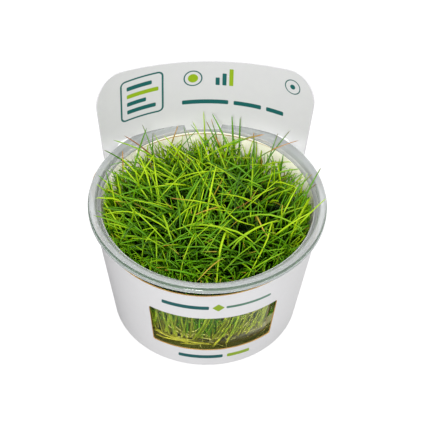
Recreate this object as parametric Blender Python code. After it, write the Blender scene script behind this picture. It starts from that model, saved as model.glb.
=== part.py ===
"""Dwarf hairgrass in an open culture cup with a white card sleeve.

The plant is a mat of small tufts on a disc of clear gel, inside a tapered clear cup.
A card sleeve wraps the cup: it has a window at the front (-Y) and a tall panel at the
back (+Y) with a slot through which the rim of the cup pokes.
All sizes are in metres, +Z is up, and the origin is the middle of the cup's underside.
"""
import math
import random

import bmesh
import bpy
import numpy as np
from mathutils import Matrix, Vector
from mathutils.geometry import delaunay_2d_cdt

# Driving dimensions of the cup
RIM_RADIUS = 0.0475
RIM_TOP = 0.0581
RIM_INNER_RADIUS = 0.0441
WALL = 0.0009
FLOOR = 0.0011
FLOOR_FILLET = 0.0010
BASE_RADIUS = 0.0371
BASE_EDGE = 0.0012
WALL_TOP_RADIUS = 0.0435
WALL_TOP = 0.0536
SKIRT_DEPTH = 0.0031
SKIRT_WALL = 0.0008
SKIRT_STEP_DOWN = 0.0015
SKIRT_STEP = 0.0003
RIM_BEVEL = 0.0007
LIP_RADIUS = 0.0424
LIP_WIDTH = 0.0005
LIP_DROP = 0.0025
LIP_DEPTH = 0.0009
GROOVE_DROP = 0.0029
CUP_SIDES = 42
SHARP_ANGLE = math.radians(35)

# Driving dimensions of the gel
GEL_TOP = 0.0150
MENISCUS_RISE = 0.0006
MENISCUS_WIDTH = 0.0015
GAP = 0.0003

# Driving dimensions of the card sleeve
CARD = 0.0005
SLEEVE_FOOT = 0.0004
SLEEVE_FOOT_RADIUS = 0.0380
SLEEVE_TOP = 0.0516
SLEEVE_TOP_RADIUS = 0.0448
WINDOW_LOW = 0.0117
WINDOW_HIGH = 0.0350
WINDOW_HALF_ANGLE = math.radians(36.2)
WINDOW_TURN = math.radians(2.0)
PANEL_BEND_RADIUS = 0.0650
PANEL_AT_RIM = 0.0434
PANEL_LEAN = math.radians(4.1)
PANEL_HEIGHT = 0.0324
PANEL_HALF_WIDTH = 0.0451
PANEL_FLARE = 0.12
PANEL_CORNER = 0.0121
PANEL_SIDE_RISE = 0.0034
PANEL_RISE_AT = 0.0400
PANEL_EDGE_ANGLE = math.radians(58)
SLOT_HALF_WIDTH = 0.0380
SLOT_TOP = RIM_TOP + 0.0004
SLOT_CORNER = 0.0015
TONGUE_HALF_WIDTH = 0.0080
TONGUE_TIP = RIM_TOP - 0.0024
TONGUE_TAPER = 0.9

# Where the band swells out to meet the panel: heights and angles from the back
SWELL_LOW = 0.0400
SWELL_HIGH = 0.0550
SWELL_FULL_ANGLE = math.radians(62)
SWELL_END_ANGLE = math.radians(92)
TONGUE_BEND_LOW = 0.0518
TONGUE_BEND_HIGH = 0.0556

# Mesh of the flat sheet: it starts and ends at the left side, a quarter turn from the front
SEAM_START = -math.radians(270)
SEAM_END = math.radians(90)
COLUMN_STEP = math.radians(7.2)
BAND_ROWS = (0.0260, 0.0440, 0.0480, 0.0550)
SEAM_ROWS = BAND_ROWS[:3]
PANEL_ROW_STEP = 0.0036
PANEL_ROWS = 9
ROW_CLEARANCE = 0.0014

# Driving dimensions of the hairgrass
SEED = 41
CROWN_RADIUS = 0.0022
CROWN_FLATNESS = 0.7
CROWN_RINGS = ((0.0, 1), (0.0110, 6), (0.0220, 12), (0.0330, 18))
CROWN_JITTER = 0.0013
FAN_CENTRE = (0.0100, 0.0040)
LEAVES_PER_TUFT = 7
LEAF_STATIONS = (0.0, 0.36, 0.68, 1.0)
LEAF_RADII = (0.00120, 0.00050, 0.00047, 0.00036, 0.0)
SHEATH_LENGTH = 0.0046
SIDE_FACE_COST = 0.6
CROWN_TWIST = 0.9
LEAF_CLEARANCE = 0.00015
LEAF_TRIES = 700
CURVE_STEPS = 24
LEAN_POWER = 1.4
UPRIGHT_LEAN = 0.04
MOST_LEAN = 2.6
SOLVER_STEPS = 40

# Where a leaf may be: clear of the gel, of the wall, of the lip below the rim and of the card
LEAF_LOWEST = GEL_TOP + 0.0030
LEAF_HIGHEST = RIM_TOP + 0.0106
LEAF_FARTHEST = 0.0475
WALL_CLEARANCE = 0.0010
PANEL_CLEARANCE = 0.0011
LIP_ZONE_LOW = RIM_TOP - 0.0045
LIP_ZONE_HIGH = RIM_TOP + 0.0014
PANEL_ZONE_LOW = RIM_TOP - 0.0040

# Kinds of leaf: share of all leaves, spread of its heading about the fan (None for any way),
# least and most length, lean at the foot, least and most lean at the tip, most drift
LEAF_KINDS = (
    (0.25, None, 0.037, 0.047, 0.03, 0.2, 0.6, 0.0),
    (0.45, 0.8, 0.044, 0.068, 0.08, 1.0, 2.1, 0.5),
    (0.30, None, 0.042, 0.066, 0.12, 0.9, 2.0, 0.8),
)

# Leaves whose tips stand out over the rim: tip (x, y, z) in millimetres, then the way it
# points, as degrees round from +X and degrees over from the vertical
STANDING_OUT = (
    ((-5.5, 40.5, 61.0), 180, 50),
    ((1.0, 40.0, 63.0), 165, 30),
    ((3.0, 40.5, 64.0), 0, 0),
    ((5.5, 37.0, 59.5), 10, 45),
    ((-3.0, 37.0, 60.5), 5, 55),
    ((-10.5, 39.0, 62.0), 15, 35),
    ((-21.0, 34.5, 62.5), 180, 0),
    ((11.5, 39.5, 66.5), 60, 5),
    ((15.0, 39.5, 65.5), 15, 25),
    ((25.0, 33.5, 61.0), 0, 100),
    ((30.0, 30.0, 65.0), 25, 20),
    ((35.0, 30.0, 66.5), 10, 35),
    ((20.5, 35.5, 60.5), 180, 5),
    ((-41.0, 20.5, 66.0), 165, 35),
    ((-33.0, 31.0, 64.0), 170, 50),
    ((-25.5, 33.5, 68.0), 35, 10),
    ((-23.5, 34.5, 65.0), 0, 25),
    ((-33.5, 24.0, 62.5), 140, 30),
    ((38.5, 27.0, 63.5), 5, 75),
    ((45.5, 8.0, 66.5), 15, 40),
    ((42.0, 6.0, 65.0), 20, 35),
    ((43.5, 2.0, 63.5), 15, 60),
    ((-45.0, -12.0, 62.0), 180, 90),
    ((-6.0, -45.5, 60.0), 220, 95),
)


def clear_scene():
    """Remove whatever the file holds, so that the model starts from nothing."""
    for thing in list(bpy.data.objects):
        bpy.data.objects.remove(thing, do_unlink=True)


def material(name, colour, roughness, metallic=0.0, transmission=0.0, alpha=1.0):
    """Make a Principled BSDF material with plain values."""
    made = bpy.data.materials.new(name)
    made.use_nodes = True
    shader = made.node_tree.nodes["Principled BSDF"]
    shader.inputs["Base Color"].default_value = (*colour, 1.0)
    shader.inputs["Roughness"].default_value = roughness
    shader.inputs["Metallic"].default_value = metallic
    shader.inputs["Transmission Weight"].default_value = transmission
    shader.inputs["Alpha"].default_value = alpha
    return made


def add_object(name, mesh, mat, smooth_angle=None):
    """Link a mesh as a named object with its own material."""
    mesh.materials.append(mat)
    if smooth_angle is not None:
        mesh.shade_smooth()
        mesh.set_sharp_from_angle(angle=smooth_angle)
    made = bpy.data.objects.new(name, mesh)
    bpy.context.collection.objects.link(made)
    return made


def turned_mesh(name, profile, sides):
    """Turn a profile of (radius, height) points, whose two ends are on the axis, about Z."""
    bm = bmesh.new()
    rings = []
    for radius, height in profile:
        if radius == 0.0:
            rings.append([bm.verts.new((0.0, 0.0, height))])
            continue
        ring = []
        for side in range(sides):
            angle = 2 * math.pi * side / sides
            ring.append(bm.verts.new((radius * math.cos(angle), radius * math.sin(angle), height)))
        rings.append(ring)
    for low, high in zip(rings, rings[1:]):
        for side in range(sides):
            after = (side + 1) % sides
            if len(low) == 1:
                bm.faces.new((low[0], high[after], high[side]))
            elif len(high) == 1:
                bm.faces.new((low[side], low[after], high[0]))
            else:
                bm.faces.new((low[side], low[after], high[after], high[side]))
    bmesh.ops.recalc_face_normals(bm, faces=bm.faces)
    mesh = bpy.data.meshes.new(name)
    bm.to_mesh(mesh)
    bm.free()
    return mesh


def wall_outer_radius(height):
    """Outer radius of the cup's tapered wall at a height."""
    share = height / WALL_TOP
    return BASE_RADIUS + (WALL_TOP_RADIUS - BASE_RADIUS) * share


def wall_inner_radius(height):
    """Inner radius of the cup's tapered wall at a height."""
    return wall_outer_radius(height) - WALL


def cup_profile():
    """Section of the cup from the middle of its underside round the rim to its inner floor."""
    skirt_foot = RIM_TOP - SKIRT_DEPTH
    step = RIM_TOP - SKIRT_STEP_DOWN
    lip_top = RIM_TOP - LIP_DROP
    lip_foot = lip_top - LIP_DEPTH
    groove = RIM_TOP - GROOVE_DROP
    return [
        (0.0, 0.0),
        (BASE_RADIUS - BASE_EDGE, 0.0),
        (BASE_RADIUS - BASE_EDGE / 4, BASE_EDGE / 4),
        (wall_outer_radius(BASE_EDGE), BASE_EDGE),
        (WALL_TOP_RADIUS, WALL_TOP),
        (RIM_INNER_RADIUS + WALL, groove - WALL * 0.7),
        (RIM_INNER_RADIUS + WALL, RIM_TOP - WALL),
        (RIM_RADIUS - SKIRT_WALL, RIM_TOP - WALL),
        (RIM_RADIUS - SKIRT_WALL, skirt_foot),
        (RIM_RADIUS, skirt_foot),
        (RIM_RADIUS, step),
        (RIM_RADIUS - SKIRT_STEP, step + SKIRT_STEP),
        (RIM_RADIUS - SKIRT_STEP, RIM_TOP - RIM_BEVEL / 2),
        (RIM_RADIUS - RIM_BEVEL, RIM_TOP),
        (RIM_INNER_RADIUS + RIM_BEVEL, RIM_TOP),
        (RIM_INNER_RADIUS, RIM_TOP - RIM_BEVEL),
        (RIM_INNER_RADIUS, groove),
        (LIP_RADIUS + LIP_WIDTH, groove),
        (LIP_RADIUS + LIP_WIDTH * 0.6, lip_top),
        (LIP_RADIUS, lip_top),
        (wall_inner_radius(lip_foot), lip_foot),
        (wall_inner_radius(FLOOR + FLOOR_FILLET), FLOOR + FLOOR_FILLET),
        (wall_inner_radius(FLOOR) - FLOOR_FILLET, FLOOR),
        (0.0, FLOOR),
    ]


def build_cup():
    """The clear cup: one moulding with floor, wall, inner lip, groove and skirted rim."""
    mesh = turned_mesh("cup", cup_profile(), CUP_SIDES)
    clear = material("clear polypropylene", (0.86, 0.90, 0.90), 0.12, transmission=0.9, alpha=0.4)
    return add_object("cup", mesh, clear, SHARP_ANGLE)


def build_gel():
    """The disc of clear gel, with a low meniscus where it climbs the wall."""
    foot = FLOOR + GAP
    corner = foot + FLOOR_FILLET
    climb = GEL_TOP + MENISCUS_RISE
    profile = [
        (0.0, foot),
        (wall_inner_radius(foot) - GAP - FLOOR_FILLET, foot),
        (wall_inner_radius(corner) - GAP - FLOOR_FILLET / 4, corner),
        (wall_inner_radius(climb) - GAP, climb),
        (wall_inner_radius(climb) - GAP - MENISCUS_WIDTH, GEL_TOP),
        (0.0, GEL_TOP),
    ]
    mesh = turned_mesh("nutrient_gel", profile, CUP_SIDES)
    gel = material("nutrient gel", (0.80, 0.82, 0.68), 0.18, transmission=0.85, alpha=0.6)
    return add_object("nutrient_gel", mesh, gel, SHARP_ANGLE)


def smooth_step(low, high, value):
    """Ease from 0 at low to 1 at high."""
    share = min(1.0, max(0.0, (value - low) / (high - low)))
    return share * share * (3.0 - 2.0 * share)


def panel_centre(height):
    """Where the axis of the back panel's bend stands in Y at a height."""
    return PANEL_AT_RIM + (height - RIM_TOP) * math.tan(PANEL_LEAN) - PANEL_BEND_RADIUS


def sleeve_radius(angle, height):
    """Mid radius of the card at an angle from the back (+Y) and a height.

    The band is a cone. The panel above it bends with a larger radius than the rim, so it
    stands inside the rim at the middle of the back and outside the rim at its two edges.
    """
    slope = (SLEEVE_TOP_RADIUS - SLEEVE_FOOT_RADIUS) / (SLEEVE_TOP - SLEEVE_FOOT)
    cone = SLEEVE_FOOT_RADIUS + slope * (height - SLEEVE_FOOT)
    fade = 1.0 - smooth_step(SWELL_FULL_ANGLE, SWELL_END_ANGLE, abs(angle))
    held = min(abs(angle), PANEL_EDGE_ANGLE) if height < SLOT_TOP else abs(angle)
    centre = panel_centre(height)
    panel = centre * math.cos(held) + math.sqrt(PANEL_BEND_RADIUS ** 2 - (centre * math.sin(held)) ** 2)
    away = panel - cone
    if away > 0:
        return cone + away * fade * smooth_step(SWELL_LOW, SWELL_HIGH, height)
    return cone + away * smooth_step(TONGUE_BEND_LOW, TONGUE_BEND_HIGH, height)


def panel_place(across, up):
    """Angle and height of a point of the back panel, from its place on the flat sheet."""
    up = up + PANEL_SIDE_RISE * (across / PANEL_RISE_AT) ** 2 * max(0.0, up) / PANEL_HEIGHT
    bend = across / PANEL_BEND_RADIUS
    height = RIM_TOP + up * math.cos(PANEL_LEAN)
    x = PANEL_BEND_RADIUS * math.sin(bend)
    y = panel_centre(height) + PANEL_BEND_RADIUS * math.cos(bend)
    return math.atan2(x, y), height


def panel_outline():
    """Half outline of the back panel on the flat sheet, from its root to the middle of its top."""
    side_steps, corner_steps, top_steps = 7, 9, 8
    corner_up = PANEL_HEIGHT - PANEL_CORNER
    corner_across = PANEL_HALF_WIDTH + PANEL_FLARE * corner_up - PANEL_CORNER
    root = SLEEVE_TOP - RIM_TOP
    points = []
    for step in range(side_steps):
        up = root + (corner_up - root) * step / side_steps
        points.append((PANEL_HALF_WIDTH + PANEL_FLARE * up, up))
    for step in range(corner_steps + 1):
        turn = math.radians(90) * step / corner_steps
        across = corner_across + PANEL_CORNER * math.cos(turn)
        points.append((across, corner_up + PANEL_CORNER * math.sin(turn)))
    for step in range(1, top_steps + 1):
        points.append((corner_across * (1 - step / top_steps), PANEL_HEIGHT))
    return points


def level_line(start, stop, height, steps):
    """Points of (angle, height) along a level line, both ends included."""
    return [(start + (stop - start) * step / steps, height) for step in range(steps + 1)]


def outer_outline():
    """Outline of the sheet: foot, right shoulder, panel and left shoulder."""
    half = [panel_place(across, up) for across, up in panel_outline()]
    other_half = [(-angle, height) for angle, height in half[-2::-1]]
    root = half[0][0]
    foot = level_line(SEAM_START, SEAM_END, SLEEVE_FOOT, round(2 * math.pi / COLUMN_STEP))
    right = level_line(SEAM_END, root, SLEEVE_TOP, round((SEAM_END - root) / COLUMN_STEP))
    left = level_line(-root, SEAM_START, SLEEVE_TOP, round((-root - SEAM_START) / COLUMN_STEP))
    return foot + right[:-1] + half + other_half + left[1:]


def window_outline():
    """The window at the front of the band, opposite the panel but a little to the right."""
    middle = -math.pi - WINDOW_TURN
    steps = round(2 * WINDOW_HALF_ANGLE / COLUMN_STEP)
    low = middle - WINDOW_HALF_ANGLE
    high = middle + WINDOW_HALF_ANGLE
    return level_line(low, high, WINDOW_LOW, steps) + level_line(high, low, WINDOW_HIGH, steps)


def slot_outline():
    """The slot for the rim, with the tongue that hangs into it at the middle of the back."""
    end = panel_place(SLOT_HALF_WIDTH, 0.0)[0]
    tongue = panel_place(TONGUE_HALF_WIDTH, 0.0)[0]
    corner = end - SLOT_CORNER / SLEEVE_TOP_RADIUS
    foot_steps, top_steps = 16, 6
    foot = level_line(-end, end, SLEEVE_TOP, foot_steps)
    right = [(end, SLOT_TOP - SLOT_CORNER)] + level_line(corner, tongue, SLOT_TOP, top_steps)
    tip = [(tongue * TONGUE_TAPER, TONGUE_TIP), (0.0, TONGUE_TIP), (-tongue * TONGUE_TAPER, TONGUE_TIP)]
    left = [(-angle, height) for angle, height in reversed(right)]
    return foot + right + tip + left


def inside(outline, x, y):
    """Whether a point lies inside a closed outline."""
    crossings = False
    for (x0, y0), (x1, y1) in zip(outline, outline[1:] + outline[:1]):
        if (y0 > y) != (y1 > y) and x < x0 + (x1 - x0) * (y - y0) / (y1 - y0):
            crossings = not crossings
    return crossings


def far_from(points, x, y, distance):
    """Whether a point keeps a distance from all of the given points."""
    return all(math.hypot(px - x, py - y) >= distance for px, py in points)


def flat_sheet():
    """Triangles of the flat sheet: its outline and holes, with inner points where it bends."""
    scale = SLEEVE_TOP_RADIUS
    outlines = [outer_outline(), window_outline(), slot_outline()]
    loops = [[(angle * scale, height) for angle, height in outline] for outline in outlines]

    def on_card(x, height):
        return inside(loops[0], x, height) and not any(inside(hole, x, height) for hole in loops[1:])

    points = []
    edges = []
    for loop in loops:
        first = len(points)
        points.extend(loop)
        for index in range(len(loop)):
            edges.append((first + index, first + (index + 1) % len(loop)))
    border = list(points)
    for height in SEAM_ROWS:
        points.append((SEAM_START * scale, height))
        points.append((SEAM_END * scale, height))
    columns = round(2 * math.pi / COLUMN_STEP)
    rows = list(BAND_ROWS) + [SLOT_TOP + PANEL_ROW_STEP * row for row in range(1, PANEL_ROWS + 1)]
    for height in rows:
        for column in range(1, columns):
            x = (SEAM_START + COLUMN_STEP * column) * scale
            if on_card(x, height) and far_from(border, x, height, ROW_CLEARANCE):
                points.append((x, height))
    vectors = [Vector(point) for point in points]
    verts, _, faces, _, _, _ = delaunay_2d_cdt(vectors, edges, [], 0, 1e-7)
    kept = []
    for face in faces:
        x = sum(verts[index].x for index in face) / 3
        height = sum(verts[index].y for index in face) / 3
        if on_card(x, height):
            kept.append(tuple(face))
    return [(vert.x / scale, vert.y) for vert in verts], kept


def card_point(angle, height, offset):
    """Point of the card at an angle and a height, moved out along the radius."""
    radius = sleeve_radius(angle, height) + offset
    return (radius * math.sin(angle), radius * math.cos(angle), height)


def joined_ends(places):
    """For each point of the flat sheet, the point it becomes when the sheet's ends are joined."""
    close = 1e-5
    ends = {}
    for index, (angle, height) in enumerate(places):
        if abs(angle - SEAM_END) < close:
            ends[round(height, 6)] = index
    joined = []
    for index, (angle, height) in enumerate(places):
        joined.append(ends[round(height, 6)] if abs(angle - SEAM_START) < close else index)
    return joined


def build_sleeve():
    """The card sleeve: the flat sheet wrapped round the cup and given its thickness."""
    places, faces = flat_sheet()
    joined = joined_ends(places)
    bm = bmesh.new()
    outer = {}
    inner = {}
    for index in sorted({joined[index] for face in faces for index in face}):
        outer[index] = bm.verts.new(card_point(*places[index], CARD / 2))
        inner[index] = bm.verts.new(card_point(*places[index], -CARD / 2))
    borders = set()
    for face in faces:
        ring = [joined[index] for index in face]
        bm.faces.new([outer[index] for index in ring])
        bm.faces.new([inner[index] for index in reversed(ring)])
        for start, stop in zip(ring, ring[1:] + ring[:1]):
            if (stop, start) in borders:
                borders.remove((stop, start))
            else:
                borders.add((start, stop))
    for start, stop in sorted(borders):
        bm.faces.new((outer[stop], outer[start], inner[start], inner[stop]))
    bmesh.ops.recalc_face_normals(bm, faces=bm.faces)
    mesh = bpy.data.meshes.new("sleeve")
    bm.to_mesh(mesh)
    bm.free()
    card = material("white card", (0.86, 0.86, 0.87), 0.45)
    return add_object("sleeve", mesh, card, SHARP_ANGLE)


def crown_places(rng):
    """Where the crowns of the tufts stand on the gel: jittered rings."""
    places = []
    for ring_radius, count in CROWN_RINGS:
        turn = rng.uniform(0.0, 2 * math.pi)
        for index in range(count):
            angle = turn + 2 * math.pi * index / count
            x = ring_radius * math.cos(angle) + rng.uniform(-CROWN_JITTER, CROWN_JITTER)
            y = ring_radius * math.sin(angle) + rng.uniform(-CROWN_JITTER, CROWN_JITTER)
            places.append((x, y, GEL_TOP + GAP + CROWN_RADIUS * CROWN_FLATNESS))
    return places


def leaf_curve(start, heading, length, lean_low, lean_high, drift):
    """Points along a leaf that leaves its crown steeply and arches over.

    lean_low and lean_high are the angles from the vertical at its foot and its tip.
    """
    share = (np.arange(CURVE_STEPS) + 0.5) / CURVE_STEPS
    lean = lean_low + (lean_high - lean_low) * share ** LEAN_POWER
    turn = heading + drift * share
    ways = np.stack([np.sin(lean) * np.cos(turn), np.sin(lean) * np.sin(turn), np.cos(lean)], axis=1)
    steps = np.cumsum(ways, axis=0) * (length / CURVE_STEPS)
    return np.vstack([np.zeros((1, 3)), steps]) + np.array(start)


def leaf_has_room(points):
    """Whether a leaf stays in the cup, clear of its rim and of the card panel."""
    x, y, z = points.T
    if z.max() > LEAF_HIGHEST or z.min() < LEAF_LOWEST:
        return False
    room = np.full(z.shape, LEAF_FARTHEST)
    room[z < LIP_ZONE_HIGH] = LIP_RADIUS - WALL_CLEARANCE
    in_cup = z < LIP_ZONE_LOW
    room[in_cup] = wall_inner_radius(z[in_cup]) - WALL_CLEARANCE
    if np.any(np.hypot(x, y) > room):
        return False
    panel = PANEL_AT_RIM - (PANEL_BEND_RADIUS - np.sqrt(PANEL_BEND_RADIUS ** 2 - x ** 2))
    return not np.any((z > PANEL_ZONE_LOW) & (y > panel - PANEL_CLEARANCE))


def segment_distances(start, stop, starts, stops):
    """Shortest distances from one segment to each of many segments."""
    d1 = stop - start
    d2 = stops - starts
    gap = start - starts
    a = d1 @ d1
    e = np.einsum("ij,ij->i", d2, d2)
    f = np.einsum("ij,ij->i", d2, gap)
    c = gap @ d1
    b = d2 @ d1
    spread = np.maximum(a * e - b * b, 1e-18)
    s = np.clip((b * f - c * e) / spread, 0.0, 1.0)
    t = np.clip((b * s + f) / e, 0.0, 1.0)
    s = np.clip((b * t - c) / a, 0.0, 1.0)
    away = gap + s[:, None] * d1 - t[:, None] * d2
    return np.sqrt(np.einsum("ij,ij->i", away, away))


def stations(foot, points):
    """The few points of a leaf that its faceted solid passes through, from its foot on the crown."""
    return np.array([foot] + [points[round(share * CURVE_STEPS)] for share in LEAF_STATIONS])


def leaf_shape(rng, place):
    """Draw the shape of one leaf: heading, length, leans at foot and tip, and drift.

    Some leaves stand nearly upright, most fan out from a point beside the middle of the
    cup, and the rest lean any way.
    """
    kind = rng.choices(LEAF_KINDS, [kind[0] for kind in LEAF_KINDS])[0]
    _, spread, shortest, longest, lean_low, least_lean, most_lean, most_drift = kind
    heading = rng.uniform(-math.pi, math.pi)
    if spread is not None:
        heading = math.atan2(place[1] - FAN_CENTRE[1], place[0] - FAN_CENTRE[0]) + rng.gauss(0.0, spread)
    length = rng.uniform(shortest, longest)
    lean = rng.uniform(least_lean, most_lean)
    return heading, length, lean_low, lean, rng.uniform(-most_drift, most_drift)


def lean_profile(lean_low, lean_high):
    """Reach and rise of a leaf of unit length that leans from one angle to the other."""
    share = (np.arange(CURVE_STEPS) + 0.5) / CURVE_STEPS
    lean = lean_low + (lean_high - lean_low) * share ** LEAN_POWER
    return float(np.mean(np.sin(lean))), float(np.mean(np.cos(lean)))


def leaf_to(foot, tip):
    """Shape of a leaf that grows from a foot and ends at a tip."""
    reach = math.hypot(tip[0] - foot[0], tip[1] - foot[1])
    rise = tip[2] - foot[2]
    lean_low = UPRIGHT_LEAN
    low, high = lean_low, MOST_LEAN
    for _ in range(SOLVER_STEPS):
        middle = 0.5 * (low + high)
        unit_reach, unit_rise = lean_profile(lean_low, middle)
        if unit_rise > 0.0 and unit_reach * rise < reach * unit_rise:
            low = middle
        else:
            high = middle
    _, unit_rise = lean_profile(lean_low, low)
    heading = math.atan2(tip[1] - foot[1], tip[0] - foot[0])
    return heading, rise / unit_rise, lean_low, low, 0.0


def tip_error(shape, way, over):
    """How far the end of a leaf points away from a wanted direction, in radians."""
    heading, _, _, lean, _ = shape
    end = Vector((math.sin(lean) * math.cos(heading), math.sin(lean) * math.sin(heading), math.cos(lean)))
    way = math.radians(way)
    over = math.radians(over)
    wanted = Vector((math.sin(over) * math.cos(way), math.sin(over) * math.sin(way), math.cos(over)))
    return end.angle(wanted)


def crown_mesh(number):
    """The low crown of a tuft, turned a little more from each tuft to the next."""
    bm = bmesh.new()
    bmesh.ops.create_icosphere(bm, subdivisions=1, radius=CROWN_RADIUS)
    turn = Matrix.Rotation(CROWN_TWIST * number, 3, "Z")
    for vert in bm.verts:
        vert.co.z *= CROWN_FLATNESS
        vert.co = turn @ vert.co
    bm.normal_update()
    return bm


class Meadow:
    """The crowns on the gel and all leaves grown so far, each clear of the others.

    Each leaf grows out of an upper face of its crown, along that face's normal for the
    length of its sheath, so the feet of the leaves of a tuft stand apart like a bouquet.
    """

    def __init__(self, places):
        self.places = places
        self.centres = np.array(places)
        self.tufts = [[] for _ in places]
        self.free = []
        for number in range(len(places)):
            bm = crown_mesh(number)
            upper = [face for face in bm.faces if face.normal.z > 0.0]
            middles = {face.index: np.array(face.calc_center_median()) for face in upper}
            normals = {face.index: np.array(face.normal) for face in upper}
            self.free.append({index: (middles[index], normals[index]) for index in middles})
            bm.free()
        self.starts = np.zeros((0, 3))
        self.stops = np.zeros((0, 3))
        self.radii = np.zeros(0)
        self.owners = np.zeros(0, dtype=int)

    def sheath(self, number, heading):
        """The free face of a crown that suits a heading best, and where its sheath starts and ends."""
        way = np.array((math.cos(heading), math.sin(heading)))

        def misfit(index):
            normal = self.free[number][index][1]
            flat = normal[:2] / np.linalg.norm(normal[:2])
            return SIDE_FACE_COST * (1.0 - normal[2]) - float(flat @ way)

        face = min(self.free[number], key=misfit)
        middle, normal = self.free[number][face]
        centre = self.centres[number]
        return face, centre + middle, centre + normal * SHEATH_LENGTH

    def fits(self, few, curve, number):
        """Whether a leaf has room in the cup and keeps clear of all other tufts and leaves."""
        if not leaf_has_room(curve):
            return False
        others = np.delete(self.centres, number, axis=0)
        spread = np.linalg.norm(others[:, None, :] - curve[None, :, :], axis=2)
        if spread.min() < CROWN_RADIUS + LEAF_RADII[1] + LEAF_CLEARANCE:
            return False
        feet = self.radii > LEAF_RADII[1]
        for index in range(len(few) - 1):
            distances = segment_distances(few[index], few[index + 1], self.starts, self.stops)
            room = distances - self.radii - LEAF_RADII[index] - LEAF_CLEARANCE
            own_feet = feet & (self.owners == number) & (index == 0)
            if np.any(room[~own_feet] < 0):
                return False
        return True

    def keep(self, few, face, number):
        """Add a leaf to its tuft."""
        del self.free[number][face]
        self.tufts[number].append((face, few))
        self.starts = np.vstack([self.starts, few[:-1]])
        self.stops = np.vstack([self.stops, few[1:]])
        self.radii = np.concatenate([self.radii, LEAF_RADII[:-1]])
        self.owners = np.concatenate([self.owners, np.full(len(few) - 1, number)])

    def grow(self, number, face, foot, curve):
        """Keep a leaf if it fits, and say whether it did."""
        few = stations(foot, curve)
        if not self.fits(few, curve, number):
            return False
        self.keep(few, face, number)
        return True


def grow_standing_out(meadow):
    """Grow each standing-out leaf from the crown that lets its tip point the wanted way."""
    for tip, way, over in STANDING_OUT:
        tip = tuple(value * 0.001 for value in tip)
        choices = []
        for number, place in enumerate(meadow.places):
            if len(meadow.tufts[number]) < LEAVES_PER_TUFT - 2:
                heading = math.atan2(tip[1] - place[1], tip[0] - place[0])
                face, foot, start = meadow.sheath(number, heading)
                shape = leaf_to(start, tip)
                choices.append((tip_error(shape, way, over), number, face, foot, start, shape))
        choices.sort(key=lambda choice: choice[:2])
        for _, number, face, foot, start, shape in choices:
            if meadow.grow(number, face, foot, leaf_curve(start, *shape)):
                break


def grow_tufts():
    """Grow all leaves: those that stand out over the rim first, then the rest in turn."""
    rng = random.Random(SEED)
    meadow = Meadow(crown_places(rng))
    grow_standing_out(meadow)
    for count in range(LEAVES_PER_TUFT):
        for number, place in enumerate(meadow.places):
            if len(meadow.tufts[number]) > count:
                continue
            for _ in range(LEAF_TRIES):
                shape = leaf_shape(rng, place)
                face, foot, start = meadow.sheath(number, shape[0])
                if meadow.grow(number, face, foot, leaf_curve(start, *shape)):
                    break
    return meadow.places, meadow.tufts


def grow_leaf(bm, face, points):
    """Draw one face of the crown out along a leaf's stations, narrowing to its tip."""
    ring = list(face.verts)
    middle = sum((vert.co for vert in ring), Vector()) / 3
    rays = [(vert.co - middle).normalized() for vert in ring]
    way = face.normal.copy()
    bm.faces.remove(face)
    for index in range(1, len(points) - 1):
        along = Vector(points[index + 1] - points[index - 1]).normalized()
        turn = way.rotation_difference(along)
        rays = [turn @ ray for ray in rays]
        way = along
        above = [bm.verts.new(Vector(points[index]) + ray * LEAF_RADII[index]) for ray in rays]
        for side in range(3):
            after = (side + 1) % 3
            bm.faces.new((ring[side], ring[after], above[after], above[side]))
        ring = above
    tip = bm.verts.new(Vector(points[-1]))
    for side in range(3):
        bm.faces.new((ring[side], ring[(side + 1) % 3], tip))


def build_tuft(number, place, leaves, green):
    """One tuft: a low crown with its leaves grown out of the faces of its upper side."""
    bm = crown_mesh(number)
    for vert in bm.verts:
        vert.co += Vector(place)
    bm.normal_update()
    faces = {face.index: face for face in bm.faces}
    for face, few in leaves:
        grow_leaf(bm, faces[face], few)
    name = f"tuft_{number + 1:02d}"
    mesh = bpy.data.meshes.new(name)
    bm.to_mesh(mesh)
    bm.free()
    return add_object(name, mesh, green.copy())


def main():
    clear_scene()
    build_cup()
    build_gel()
    build_sleeve()
    green = material("hairgrass leaf", (0.18, 0.36, 0.04), 0.45)
    crowns, tufts = grow_tufts()
    for number, (place, leaves) in enumerate(zip(crowns, tufts)):
        build_tuft(number, place, leaves, green)
    print("leaves", sum(len(leaves) for leaves in tufts), [len(leaves) for leaves in tufts])


main()
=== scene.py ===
# %% [markdown]
# # Dwarf hairgrass in a clear culture cup
# The object is a low mat of grass-like leaves growing on a disc of clear gel, in an open
# plastic cup. A white card sleeve wraps the cup, with a window at the front and a tall panel
# at the back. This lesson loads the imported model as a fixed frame, then gives each piece its
# fine shape and its finish, in the order: camera, light, card, cup, gel, grass.

# %% Load the frame
import math

import bmesh
import bpy
import numpy as np
from mathutils import Matrix, Vector
from mathutils.geometry import delaunay_2d_cdt


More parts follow.
